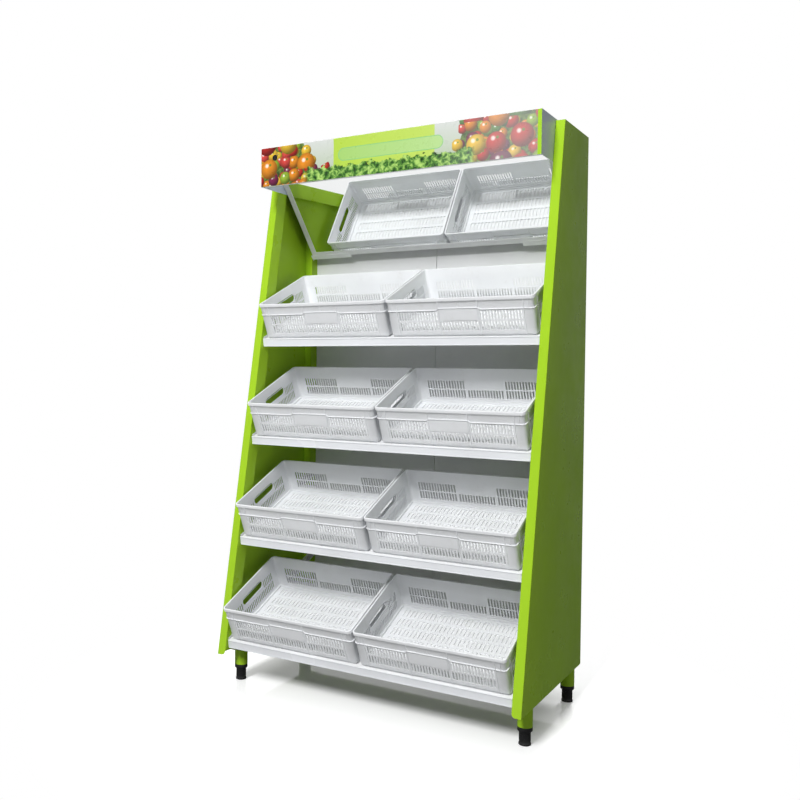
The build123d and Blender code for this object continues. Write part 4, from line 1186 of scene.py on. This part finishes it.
def price_rail(tier, crate, settings):
    """Ticket strip holder on a tray's lip: a beaded channel with a plain paper strip behind its beads, the strip's
    colour darkened and blued to paint the shade inside the channel.
    """
    low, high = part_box(f"price_rail_{tier}")
    half = (high.x - low.x) / 2
    lean = math.atan2(0.0075, 0.0295)
    fall = Vector((0.0, -math.sin(lean), -math.cos(lean)))
    tilt = Matrix.Rotation(crate.tilt, 3, "X")
    down = tilt @ fall
    out = tilt @ Vector((0.0, -math.cos(lean), math.sin(lean)))
    length = math.hypot(0.0075, 0.0295)
    corners = [down * d + out * o for d in (0.0, length) for o in (0.0, 0.003)]
    top = Vector((0.0, low.y - min(c.y for c in corners), high.z - max(c.z for c in corners)))

    def at(d, o):
        return top + down * d + out * o

    wall = 0.001
    section = [
        (0.0, 0.0),
        (0.0, 0.0021),
        (0.0004, 0.0028),
        (0.0012, 0.0030),
        (0.0034, 0.0030),
        (0.0040, 0.0027),
        (0.0039, 0.0021),
        (0.0020, 0.0019),
        (0.0012, 0.0015),
        (0.0012, wall),
        (length - 0.0012, wall),
        (length - 0.0012, 0.0015),
        (length - 0.0020, 0.0019),
        (length - 0.0039, 0.0021),
        (length - 0.0040, 0.0027),
        (length - 0.0034, 0.0030),
        (length - 0.0012, 0.0030),
        (length - 0.0004, 0.0028),
        (length, 0.0021),
        (length, 0.0),
    ]
    mesh_data = bmesh.new()
    ends = [[at(d, o) + Vector((x, 0, 0)) for d, o in section] for x in (-half, half)]
    swept(mesh_data, ends, closed=False)
    ticket = [(0.0022, wall + 0.0001), (0.0022, wall + 0.0007), (length - 0.0022, wall + 0.0007)]
    ticket.append((length - 0.0022, wall + 0.0001))
    holder_faces = len(mesh_data.faces)
    strip = [[at(d, o) + Vector((x, 0, 0)) for d, o in ticket] for x in (-half + 0.002, half - 0.002)]
    swept(mesh_data, strip, closed=False)
    mesh_data.faces.ensure_lookup_table()
    for face in mesh_data.faces[holder_faces:]:
        face.material_index = 1
    bmesh.ops.recalc_face_normals(mesh_data, faces=mesh_data.faces)
    holder = moulded("ticket_holder_plastic", (0.84, 0.86, 0.89), wear=0.2, shine=0.22)
    # Painted shade: the paper strip is coloured grey-blue rather than paper white, standing in for the shade in the
    # recessed channel.
    paper = moulded("ticket_paper", (0.60, 0.65, 0.76), wear=0.15, shine=0.42)
    return finish_mesh(f"price_rail_{tier}_beads", mesh_data, [holder, paper], smooth=35)


class STAND_OT_trays(bpy.types.Operator):
    """Paint the trays and fit their ticket strips"""

    bl_idname = "stand.trays"
    bl_label = "Trays"

    def execute(self, context):
        stand = context.scene.crate_stand
        white = paint("white_powder_coat", stand.casing.white, dust=0.10)
        for tier in TIERS:
            dress(f"shelf_tray_{tier}", white)
            dress(f"tray_arms_{tier}", white)
            rail = price_rail(tier, stand.crate, stand.casing)
            stands_for(rail, "stand", "ticket_strip", f"price_rail_{tier}")
        return {"FINISHED"}


# Legs and feet ------------------------------------------------------------------------------------------


def leg_centre(place_name):
    """Middle of a leg on the floor plan."""
    low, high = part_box("leg_" + place_name)
    return (low.x + high.x) / 2, (low.y + high.y) / 2


def grip_tree(rubber):
    """Geometry tree: grip ribs spaced round a levelling foot."""
    tree, start, end = new_group(
        "GeometryNodeTree",
        "foot_grips",
        [
            ("Foot", "Geometry", None),
            ("Count", "Int", 24),
            ("Radius", "Float", 0.0184),
            ("Rib", "Float", 0.0009),
            ("Height", "Float", 0.022),
            ("Centre", "Vector", (0.0, 0.0, 0.0)),
        ],
        [("Foot", "Geometry", None)],
    )
    into = start.outputs
    ring = place(tree, "GeometryNodeMeshCircle", {"Vertices": into["Count"], "Radius": into["Radius"]}, fill_type="NONE")
    rib_circle = place(tree, "GeometryNodeCurvePrimitiveCircle", {"Resolution": 8, "Radius": into["Rib"]})
    top = place(tree, "ShaderNodeCombineXYZ", {"Z": into["Height"]})
    upright = place(tree, "GeometryNodeCurvePrimitiveLine", {"End": top.outputs[0]}, mode="POINTS")
    rib = place(
        tree,
        "GeometryNodeCurveToMesh",
        {"Curve": upright.outputs[0], "Profile Curve": rib_circle.outputs[0], "Fill Caps": True},
    )
    ribs = place(tree, "GeometryNodeInstanceOnPoints", {"Points": ring.outputs[0], "Instance": rib.outputs[0]})
    moved = place(tree, "GeometryNodeTransform", {"Geometry": ribs.outputs[0], "Translation": into["Centre"]})
    real = place(tree, "GeometryNodeRealizeInstances", {0: moved.outputs[0]})
    joined = place(tree, "GeometryNodeJoinGeometry")
    tree.links.new(into["Foot"], joined.inputs[0])
    tree.links.new(real.outputs[0], joined.inputs[0])
    coloured = place(tree, "GeometryNodeSetMaterial", {"Geometry": joined.outputs[0], "Material": rubber})
    tree.links.new(coloured.outputs[0], end.inputs["Foot"])
    return tree


class STAND_OT_legs(bpy.types.Operator):
    """Turn the legs, their collars and the levelling feet"""

    bl_idname = "stand.legs"
    bl_label = "Legs and Feet"

    def execute(self, context):
        stand = context.scene.crate_stand
        facets = stand.fitting.facets
        green = paint("green_powder_coat", stand.casing.green)
        nylon = moulded("black_nylon", stand.fitting.black, wear=0.7, shine=0.42, grime=(0.20, 0.19, 0.18))
        grips = grip_tree(nylon)
        collars = bmesh.new()
        for place_name in FEET:
            centre = leg_centre(place_name)
            low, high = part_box("leg_" + place_name)
            radius = (high.x - low.x) / 2
            tube = bmesh.new()
            bore = radius - 0.0025
            turned(
                tube,
                [
                    (bore, low.z + 0.0004),
                    (bore + 0.0004, low.z),
                    (radius - 0.0004, low.z),
                    (radius, low.z + 0.0004),
                    (radius, high.z),
                    (bore, high.z),
                ],
                centre,
                facets,
            )
            leg = finish_mesh("leg_" + place_name + "_tube", tube, [green], smooth=35)
            stands_for(leg, "stand", "green_paint", "leg_" + place_name)

            base = low.z - 0.017
            turned(
                collars,
                [
                    (0.0063, base),
                    (radius - 0.0046, base),
                    (radius - 0.0040, base + 0.0005),
                    (radius - 0.0003, base + 0.0042),
                    (radius, base + 0.0049),
                    (radius, base + 0.0125),
                    (radius - 0.0008, base + 0.0130),
                    (radius - 0.0008, base + 0.0142),
                    (radius, base + 0.0147),
                    (radius, low.z - 0.0003),
                    (radius - 0.0003, low.z),
                    (bore - 0.0001, low.z),
                    (bore - 0.0001, low.z + 0.020),
                    (0.0063, low.z + 0.020),
                ],
                centre,
                facets,
            )

            foot_low, foot_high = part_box("levelling_foot_" + place_name)
            stem_foot = base - 0.0003
            foot = bmesh.new()
            turned(
                foot,
                [
                    (0.0, 0.0),
                    (0.0188, 0.0),
                    (0.0200, 0.0004),
                    (0.0205, 0.0013),
                    (0.0205, 0.0048),
                    (0.0202, 0.0060),
                    (0.0192, 0.0078),
                    (0.0186, 0.0092),
                    (0.0183, 0.0120),
                    (0.0184, 0.0360),
                    (0.0192, 0.0372),
                    (0.0192, stem_foot - 0.0006),
                    (0.0186, stem_foot),
                    (0.0060, stem_foot),
                    (0.0060, foot_high.z - 0.0010),
                    (0.0050, foot_high.z),
                    (0.0, foot_high.z),
                ],
                centre,
                facets,
            )
            piece = finish_mesh("levelling_foot_" + place_name + "_pad", foot, [nylon])
            ribbed = piece.modifiers.new("grips", "NODES")
            ribbed.node_group = grips
            set_input(ribbed, "Count", stand.fitting.grips)
            set_input(ribbed, "Rib", stand.fitting.grip_depth)
            set_input(ribbed, "Centre", (centre[0], centre[1], 0.0125))
            apply_modifiers(piece)
            piece.data.shade_smooth()
            piece.data.set_sharp_from_angle(angle=math.radians(35))
            body = "levelling_foot_" + place_name + "_body"
            stands_for(piece, body, "black_plastic", "levelling_foot_" + place_name)
        ring = finish_mesh("leg_collar_rings", collars, [nylon], smooth=35)
        stands_for(ring, "stand", "black_plastic", "leg_collars")
        return {"FINISHED"}


# Mirror -------------------------------------------------------------------------------------------------


def mirror_matrix(settings):
    """Axes on the mirror: X across, Y up its face, Z out of its face."""
    low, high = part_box("mirror_frame")
    lean = settings.tilt
    back = settings.below * math.cos(lean) + settings.rail_depth * math.sin(lean)
    foot = settings.below * math.sin(lean) + settings.rail_wall * math.cos(lean)
    origin = Vector((0.0, high.y - back, low.z + foot))
    up = Vector((0.0, -math.cos(lean), math.sin(lean)))
    out = Vector((0.0, -math.sin(lean), -math.cos(lean)))
    axes = Matrix((Vector((1, 0, 0)), up, out)).transposed().to_4x4()
    return Matrix.Translation(origin) @ axes


def mirror_rails(settings):
    """Mitred L-shaped rails round the mirror."""
    low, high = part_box("mirror_frame")
    matrix = mirror_matrix(settings)
    inverse = matrix.inverted()
    points = [inverse @ vert.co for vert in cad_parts["mirror_frame"].data.vertices]
    half = max(point.x for point in points)
    bottom, top = min(point.y for point in points), max(point.y for point in points)
    wall, rail, depth = settings.rail_wall, settings.rail, settings.rail_depth
    r = 0.0006
    section = [
        (0.0, -depth),
        (0.0, wall - r),
        (r, wall),
        (rail - r, wall),
        (rail, wall - r),
        (rail, 0.0),
        (wall, 0.0),
        (wall, -depth),
    ]
    corners = [(half, bottom, -1, 1), (half, top, -1, -1), (-half, top, 1, -1), (-half, bottom, 1, 1)]
    mesh_data = bmesh.new()
    rings = []
    for x, y, inward_x, inward_y in corners:
        rings.append([matrix @ Vector((x + inward_x * s, y + inward_y * s, o)) for s, o in section])
    swept(mesh_data, rings)
    bmesh.ops.recalc_face_normals(mesh_data, faces=mesh_data.faces)
    return mesh_data


class STAND_OT_mirror(bpy.types.Operator):
    """Silver the mirror, build its mitred frame and paint its brackets"""

    bl_idname = "stand.mirror"
    bl_label = "Mirror"

    def execute(self, context):
        stand = context.scene.crate_stand
        white = paint("white_powder_coat", stand.casing.white, dust=0.10)
        dress("mirror_glass", silvered_glass(stand.mirror.silver))
        dress("mirror_backing", moulded("dark_foam_board", (0.08, 0.08, 0.08), wear=0.3, shine=0.6))
        rails = finish_mesh("mirror_frame_rails", mirror_rails(stand.mirror), [white], smooth=35)
        stands_for(rails, "stand", "white_paint", "mirror_frame")
        for side in SIDES:
            dress("mirror_bracket_" + side, white)
        return {"FINISHED"}


# Header and lamp ----------------------------------------------------------------------------------------


class STAND_OT_header(bpy.types.Operator):
    """Paint the header, print its front and colour the switch and grommet"""

    bl_idname = "stand.header"
    bl_label = "Header"

    def execute(self, context):
        settings = context.scene.crate_stand.casing
        dress("header_shell", paint("white_powder_coat", settings.white, dust=0.10))
        for side in SIDES:
            dress("header_end_" + side, paint("blue_grey_powder_coat", settings.grey, dust=0.05, specular=0.4))
        dress("fascia_print", header_print())
        black = moulded("switch_black", (0.012, 0.012, 0.013), wear=0.3, shine=0.26, grime=(0.2, 0.2, 0.2))
        dress("switch_bezel", black)
        dress("switch_rocker", black)
        dress("cable_grommet", moulded("grommet_rubber", (0.018, 0.018, 0.018), wear=0.5, shine=0.6))
        return {"FINISHED"}


class STAND_OT_lamp(bpy.types.Operator):
    """Build the lamp tube and its caps, and paint the housing and holders"""

    bl_idname = "stand.lamp"
    bl_label = "Lamp"

    def execute(self, context):
        stand = context.scene.crate_stand
        low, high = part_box("lamp_tube")
        radius = (high.z - low.z) / 2
        cap = stand.fitting.cap
        tube = bmesh.new()
        glass = [
            (0.0, low.x + cap * 0.6),
            (radius - 0.0006, low.x + cap * 0.6),
            (radius - 0.0006, high.x - cap * 0.6),
            (0.0, high.x - cap * 0.6),
        ]
        turned(tube, glass, (0.0, 0.0), stand.fitting.facets)
        for end, inward in ((low.x, 1), (high.x, -1)):
            ring = [
                (0.0, end),
                (radius - 0.0012, end),
                (radius - 0.0003, end + inward * 0.0004),
                (radius, end + inward * 0.0014),
                (radius, end + inward * (cap - 0.001)),
                (radius - 0.0010, end + inward * cap),
                (0.0, end + inward * cap),
            ]
            turned(tube, ring, (0.0, 0.0), stand.fitting.facets, material_index=1)
        lay = Matrix.Translation((0.0, (low.y + high.y) / 2, (low.z + high.z) / 2))
        bmesh.ops.transform(tube, matrix=lay @ Matrix.Rotation(math.pi / 2, 4, "Y"), verts=tube.verts)
        bmesh.ops.recalc_face_normals(tube, faces=tube.faces)
        piece = finish_mesh("lamp_tube_glass", tube, [lamp_frost(), zinc()], smooth=35)
        stands_for(piece, "stand", "lamp_diffuser", "lamp_tube")
        dress("lamp_housing", paint("white_powder_coat", stand.casing.white, dust=0.10))
        dress("lampholders", moulded("lampholder_plastic", (0.80, 0.80, 0.78), wear=0.2, shine=0.35))
        return {"FINISHED"}


# Fasteners ----------------------------------------------------------------------------------------------


def screw_mesh(name, head_radius, head_height, recess, length=0.009, shank=0.0029):
    """A pan-head screw with a cross recess, its seat at z = 0 and its head up."""
    mesh_data = bmesh.new()
    dome = [(head_radius * math.cos(t), head_height * (0.25 + 0.75 * math.sin(t))) for t in (0.0, 0.35, 0.7, 1.05)]
    profile = [(0.0, -length), (shank - 0.0006, -length), (shank, -length + 0.0008), (shank, 0.0)]
    profile += [(head_radius, 0.0)] + dome + [(0.0, head_height)]
    turned(mesh_data, profile, (0.0, 0.0), 16)
    screw = finish_mesh(name, mesh_data, [zinc()])
    cross = bmesh.new()
    arm, half = head_radius * 0.52, head_radius * 0.11
    for wide, deep in ((arm, half), (half, arm)):
        box_between(cross, (-wide, -deep, head_height - recess), (wide, deep, head_height + 0.001))
    cutter = finish_mesh(name + "_cross", cross, [zinc()])
    cut = screw.modifiers.new("cross", "BOOLEAN")
    cut.operation = "DIFFERENCE"
    cut.solver = "EXACT"
    cut.use_self = True
    cut.object = cutter
    apply_modifiers(screw)
    bpy.data.objects.remove(cutter)
    return screw


def screw_tree(name, screw):
    """Geometry tree: a screw on every point, facing along the point's own direction."""
    tree, start, end = new_group(
        "GeometryNodeTree",
        name,
        [("Places", "Geometry", None), ("Screw", "Object", None), ("Size", "Float", 1.0)],
        [("Screws", "Geometry", None)],
    )
    info = place(tree, "GeometryNodeObjectInfo", {"Object": start.outputs["Screw"]})
    facing = place(tree, "GeometryNodeInputNamedAttribute", {"Name": "facing"}, data_type="FLOAT_VECTOR")
    aim = place(tree, "FunctionNodeAlignRotationToVector", {"Vector": facing.outputs[0]}, axis="Z")
    copies = place(
        tree,
        "GeometryNodeInstanceOnPoints",
        {
            "Points": start.outputs["Places"],
            "Instance": info.outputs["Geometry"],
            "Rotation": aim.outputs[0],
            "Scale": start.outputs["Size"],
        },
    )
    real = place(tree, "GeometryNodeRealizeInstances", {0: copies.outputs[0]})
    coloured = place(tree, "GeometryNodeSetMaterial", {"Geometry": real.outputs[0], "Material": zinc()})
    tree.links.new(coloured.outputs[0], end.inputs["Screws"])
    return tree


def screw_set(name, node, head_height, seat, recess):
    """All screws of a frame node, as one mesh. seat gives each one's seat and direction from its box."""
    places = [seat(low, high) for low, high in islands(node)]
    mesh = bpy.data.meshes.new(name)
    mesh.from_pydata([tuple(point) for point, _ in places], [], [])
    attribute = mesh.attributes.new("facing", "FLOAT_VECTOR", "POINT")
    attribute.data.foreach_set("vector", [value for _, facing in places for value in facing])
    piece = bpy.data.objects.new(name, mesh)
    bpy.context.scene.collection.objects.link(piece)
    screw = screw_mesh(name + "_pattern", 0.0054, head_height, recess)
    modifier = piece.modifiers.new("screws", "NODES")
    modifier.node_group = screw_tree(name + "_places", screw)
    set_input(modifier, "Screw", screw)
    apply_modifiers(piece)
    bpy.data.objects.remove(screw)
    piece.data.shade_smooth()
    piece.data.set_sharp_from_angle(angle=math.radians(35))
    stands_for(piece, "stand", "screw_steel", node)
    return piece


class STAND_OT_screws(bpy.types.Operator):
    """Fit the screws of the arms, header and back panels"""

    bl_idname = "stand.screws"
    bl_label = "Screws"

    def execute(self, context):
        recess = context.scene.crate_stand.fitting.recess

        def inward(low, high):
            side = 1 if low.x > 0 else -1
            near = low.x if side > 0 else high.x
            seat = Vector((near + side * 0.0035, (low.y + high.y) / 2, (low.z + high.z) / 2))
            return seat, Vector((-side, 0.0, 0.0))

        def rearward(low, high):
            seat = Vector(((low.x + high.x) / 2, high.y - 0.0022, (low.z + high.z) / 2))
            return seat, Vector((0.0, 1.0, 0.0))

        screw_set("arm_screw_heads", "arm_screws", 0.0034, inward, recess)
        screw_set("header_screw_heads", "header_screws", 0.0034, inward, recess)
        screw_set("back_screw_heads", "back_panel_screws", 0.0021, rearward, recess)
        return {"FINISHED"}


# Stage --------------------------------------------------------------------------------------------------


def soft_box(name, position, target, size, power, colour=(1.0, 1.0, 1.0)):
    """A rectangular studio light aimed at a point."""
    light = bpy.data.lights.new(name, "AREA")
    light.shape = "RECTANGLE"
    light.size, light.size_y = size
    light.energy = power
    light.color = colour
    lamp = bpy.data.objects.new(name, light)
    lamp.location = position
    lamp.visible_camera = False
    lamp.visible_glossy = False
    lamp.rotation_euler = (Vector(target) - Vector(position)).to_track_quat("-Z", "Y").to_euler()
    bpy.context.scene.collection.objects.link(lamp)


class STAND_OT_stage(bpy.types.Operator):
    """Lay the floor, set the lights and place the camera"""

    bl_idname = "stand.stage"
    bl_label = "Stage"

    def execute(self, context):
        scene = context.scene
        settings = scene.crate_stand.stage
        self.lay_floor()
        self.light_world(scene, settings)
        soft_box("key_box", (0.2, -8.2, 7.2), (0.0, 0.0, 1.0), (1.8, 2.4), settings.key)
        soft_box("top_box", (0.3, -1.4, 4.2), (0.0, 0.1, 0.8), (2.6, 1.6), settings.top)
        soft_box("rear_box", (0.0, 6.0, 5.0), (0.0, 0.0, 1.0), (1.0, 2.0), settings.rear)
        low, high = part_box("lamp_tube")
        middle = (low + high) / 2
        glow = (middle.x, middle.y, low.z - 0.004)
        soft_box("lamp_glow", glow, (middle.x, middle.y + 0.2, low.z - 1.0), (high.x - low.x - 0.04, 0.03), settings.lamp)
        self.place_camera(scene, settings)
        scene.view_settings.view_transform = "Standard"
        return {"FINISHED"}

    def lay_floor(self):
        """A pale glossy floor that fades to white away from the stand, with a painted shadow under the stand and a
        darker copy of its colour for bounce light and reflections.
        """
        floor = bmesh.new()
        reach = 30.0
        corners = [(-reach, -reach, -0.0005), (reach, -reach, -0.0005), (reach, reach, -0.0005)]
        corners.append((-reach, reach, -0.0005))
        floor.faces.new([floor.verts.new(corner) for corner in corners])
        material, tree, shader = new_material("studio_floor")
        seen = place(tree, "ShaderNodeLightPath").outputs["Is Camera Ray"]
        shader.inputs["Roughness"].default_value = 0.07
        in_gloss = place(tree, "ShaderNodeLightPath").outputs["Is Glossy Ray"]
        # Painted shade: to rays other than the camera's the floor is a darker copy, 0.34 in bounce light and 0.08 in
        # reflections near the stand, so less light bounces onto the stand's sides.
        unseen = blend_colour(tree, in_gloss, (0.34, 0.34, 0.34), (0.08, 0.08, 0.08))
        tree.links.new(blend_colour(tree, seen, unseen, (0.98, 0.98, 0.99)), shader.inputs["Base Color"])
        shader.inputs["Emission Color"].default_value = (1.0, 1.0, 1.0, 1.0)
        where = place(tree, "ShaderNodeTexCoord").outputs["Object"]
        along = place(tree, "ShaderNodeSeparateXYZ", {0: where})
        # Painted shadow: under the stand's footprint the floor's glow drops from 0.34 to 0.04, darkening the floor
        # where the stand's shadow falls.
        painted_shadow = spread(tree, calculate(tree, "ABSOLUTE", along.outputs["X"]), 0.48, 0.66, 1.0, 0.0, smooth=True)
        painted_shadow = calculate(tree, "MULTIPLY", painted_shadow, spread(tree, along.outputs["Y"], -0.22, -0.06, smooth=True))
        painted_shadow = calculate(tree, "MULTIPLY", painted_shadow, spread(tree, along.outputs["Y"], 0.26, 0.42, 1.0, 0.0))
        lift = calculate(tree, "MULTIPLY", seen, spread(tree, painted_shadow, 0.0, 1.0, 0.34, 0.04))
        tree.links.new(lift, shader.inputs["Emission Strength"])
        away = place(tree, "ShaderNodeVectorMath", {0: where}, operation="LENGTH").outputs["Value"]
        fade = calculate(tree, "MULTIPLY", spread(tree, away, 0.62, 1.35, 0.0, 1.0, smooth=True), seen)
        ahead = spread(tree, along.outputs["Y"], -0.34, -0.60)
        glossy = calculate(tree, "MULTIPLY", in_gloss, ahead)
        factor = calculate(tree, "MAXIMUM", fade, glossy)
        white = place(tree, "ShaderNodeEmission", {"Color": (1.0, 1.0, 1.0, 1.0), "Strength": 1.0})
        mix = place(tree, "ShaderNodeMixShader", {0: factor, 1: shader.outputs[0], 2: white.outputs[0]})
        tree.links.new(mix.outputs[0], tree.nodes["Material Output"].inputs["Surface"])
        finish_mesh("floor", floor, [material])

    def light_world(self, scene, settings):
        """Plain surrounding light, seen as white by the camera and in gloss."""
        world = bpy.data.worlds.new("studio")
        scene.world = world
        world.use_nodes = True
        tree = world.node_tree
        background = tree.nodes["Background"]
        path = place(tree, "ShaderNodeLightPath")
        seen = calculate(tree, "MAXIMUM", path.outputs["Is Camera Ray"], path.outputs["Is Transmission Ray"])
        facing = place(tree, "ShaderNodeSeparateXYZ", {0: place(tree, "ShaderNodeTexCoord").outputs["Generated"]})
        wall = spread(tree, facing.outputs["X"], -0.10, -0.40, 0.07, 1.0)
        around = spread(tree, facing.outputs["Y"], 0.0, 0.3, 0.30, wall)
        glossy = calculate(tree, "MULTIPLY", path.outputs["Is Glossy Ray"], around)
        seen = calculate(tree, "MAXIMUM", seen, glossy)
        background.inputs["Color"].default_value = (1.0, 1.0, 1.0, 1.0)
        tree.links.new(spread(tree, seen, 0.0, 1.0, settings.ambient, 1.0), background.inputs["Strength"])

    def place_camera(self, scene, settings):
        """The camera, fitted to the view of the stand."""
        yaw, pitch, roll = math.radians(31.735), math.radians(-1.388), math.radians(0.5205)
        forward = Vector(
            (-math.sin(yaw) * math.cos(pitch), math.cos(yaw) * math.cos(pitch), math.sin(pitch))
        )
        right = Vector((math.cos(yaw), math.sin(yaw), 0.0))
        up = right.cross(forward)
        rolled_right = right * math.cos(roll) + up * math.sin(roll)
        rolled_up = up * math.cos(roll) - right * math.sin(roll)
        data = bpy.data.cameras.new("camera")
        data.sensor_width = 36.0
        data.lens = settings.focal / 800 * 36.0
        data.shift_x = (400 - 323.31) / 800
        data.shift_y = (390.25 - 400) / 800
        camera = bpy.data.objects.new("camera", data)
        axes = Matrix((rolled_right, rolled_up, -forward)).transposed().to_4x4()
        camera.matrix_world = Matrix.Translation((1.54605, -3.03010, 1.21439)) @ axes
        scene.collection.objects.link(camera)
        scene.camera = camera


class STAND_PT_panel(bpy.types.Panel):
    """Lists the stand's pieces in the sidebar"""

    bl_idname = "STAND_PT_panel"
    bl_label = "Crate Stand"
    bl_space_type = "VIEW_3D"
    bl_region_type = "UI"
    bl_category = "Crate Stand"

    def draw(self, context):
        for operator in OPERATORS:
            self.layout.operator(operator.bl_idname)


OPERATORS = (
    STAND_OT_crates,
    STAND_OT_casing,
    STAND_OT_trays,
    STAND_OT_legs,
    STAND_OT_mirror,
    STAND_OT_header,
    STAND_OT_lamp,
    STAND_OT_screws,
    STAND_OT_stage,
)
CLASSES = (
    CrateSettings,
    CasingSettings,
    MirrorSettings,
    FittingSettings,
    StageSettings,
    StandSettings,
    *OPERATORS,
    STAND_PT_panel,
)


def register():
    """Register the settings, operators and panel."""
    for item in CLASSES:
        bpy.utils.register_class(item)
    bpy.types.Scene.crate_stand = PointerProperty(type=StandSettings, name="Crate Stand", description="Settings")


def unregister():
    """Remove them again."""
    del bpy.types.Scene.crate_stand
    for item in reversed(CLASSES):
        bpy.utils.unregister_class(item)


def main():
    """Build every piece in order."""
    register()
    bpy.ops.stand.crates()
    bpy.ops.stand.casing()
    bpy.ops.stand.trays()
    bpy.ops.stand.legs()
    bpy.ops.stand.mirror()
    bpy.ops.stand.header()
    bpy.ops.stand.lamp()
    bpy.ops.stand.screws()
    bpy.ops.stand.stage()


if __name__ == "__main__":
    main()
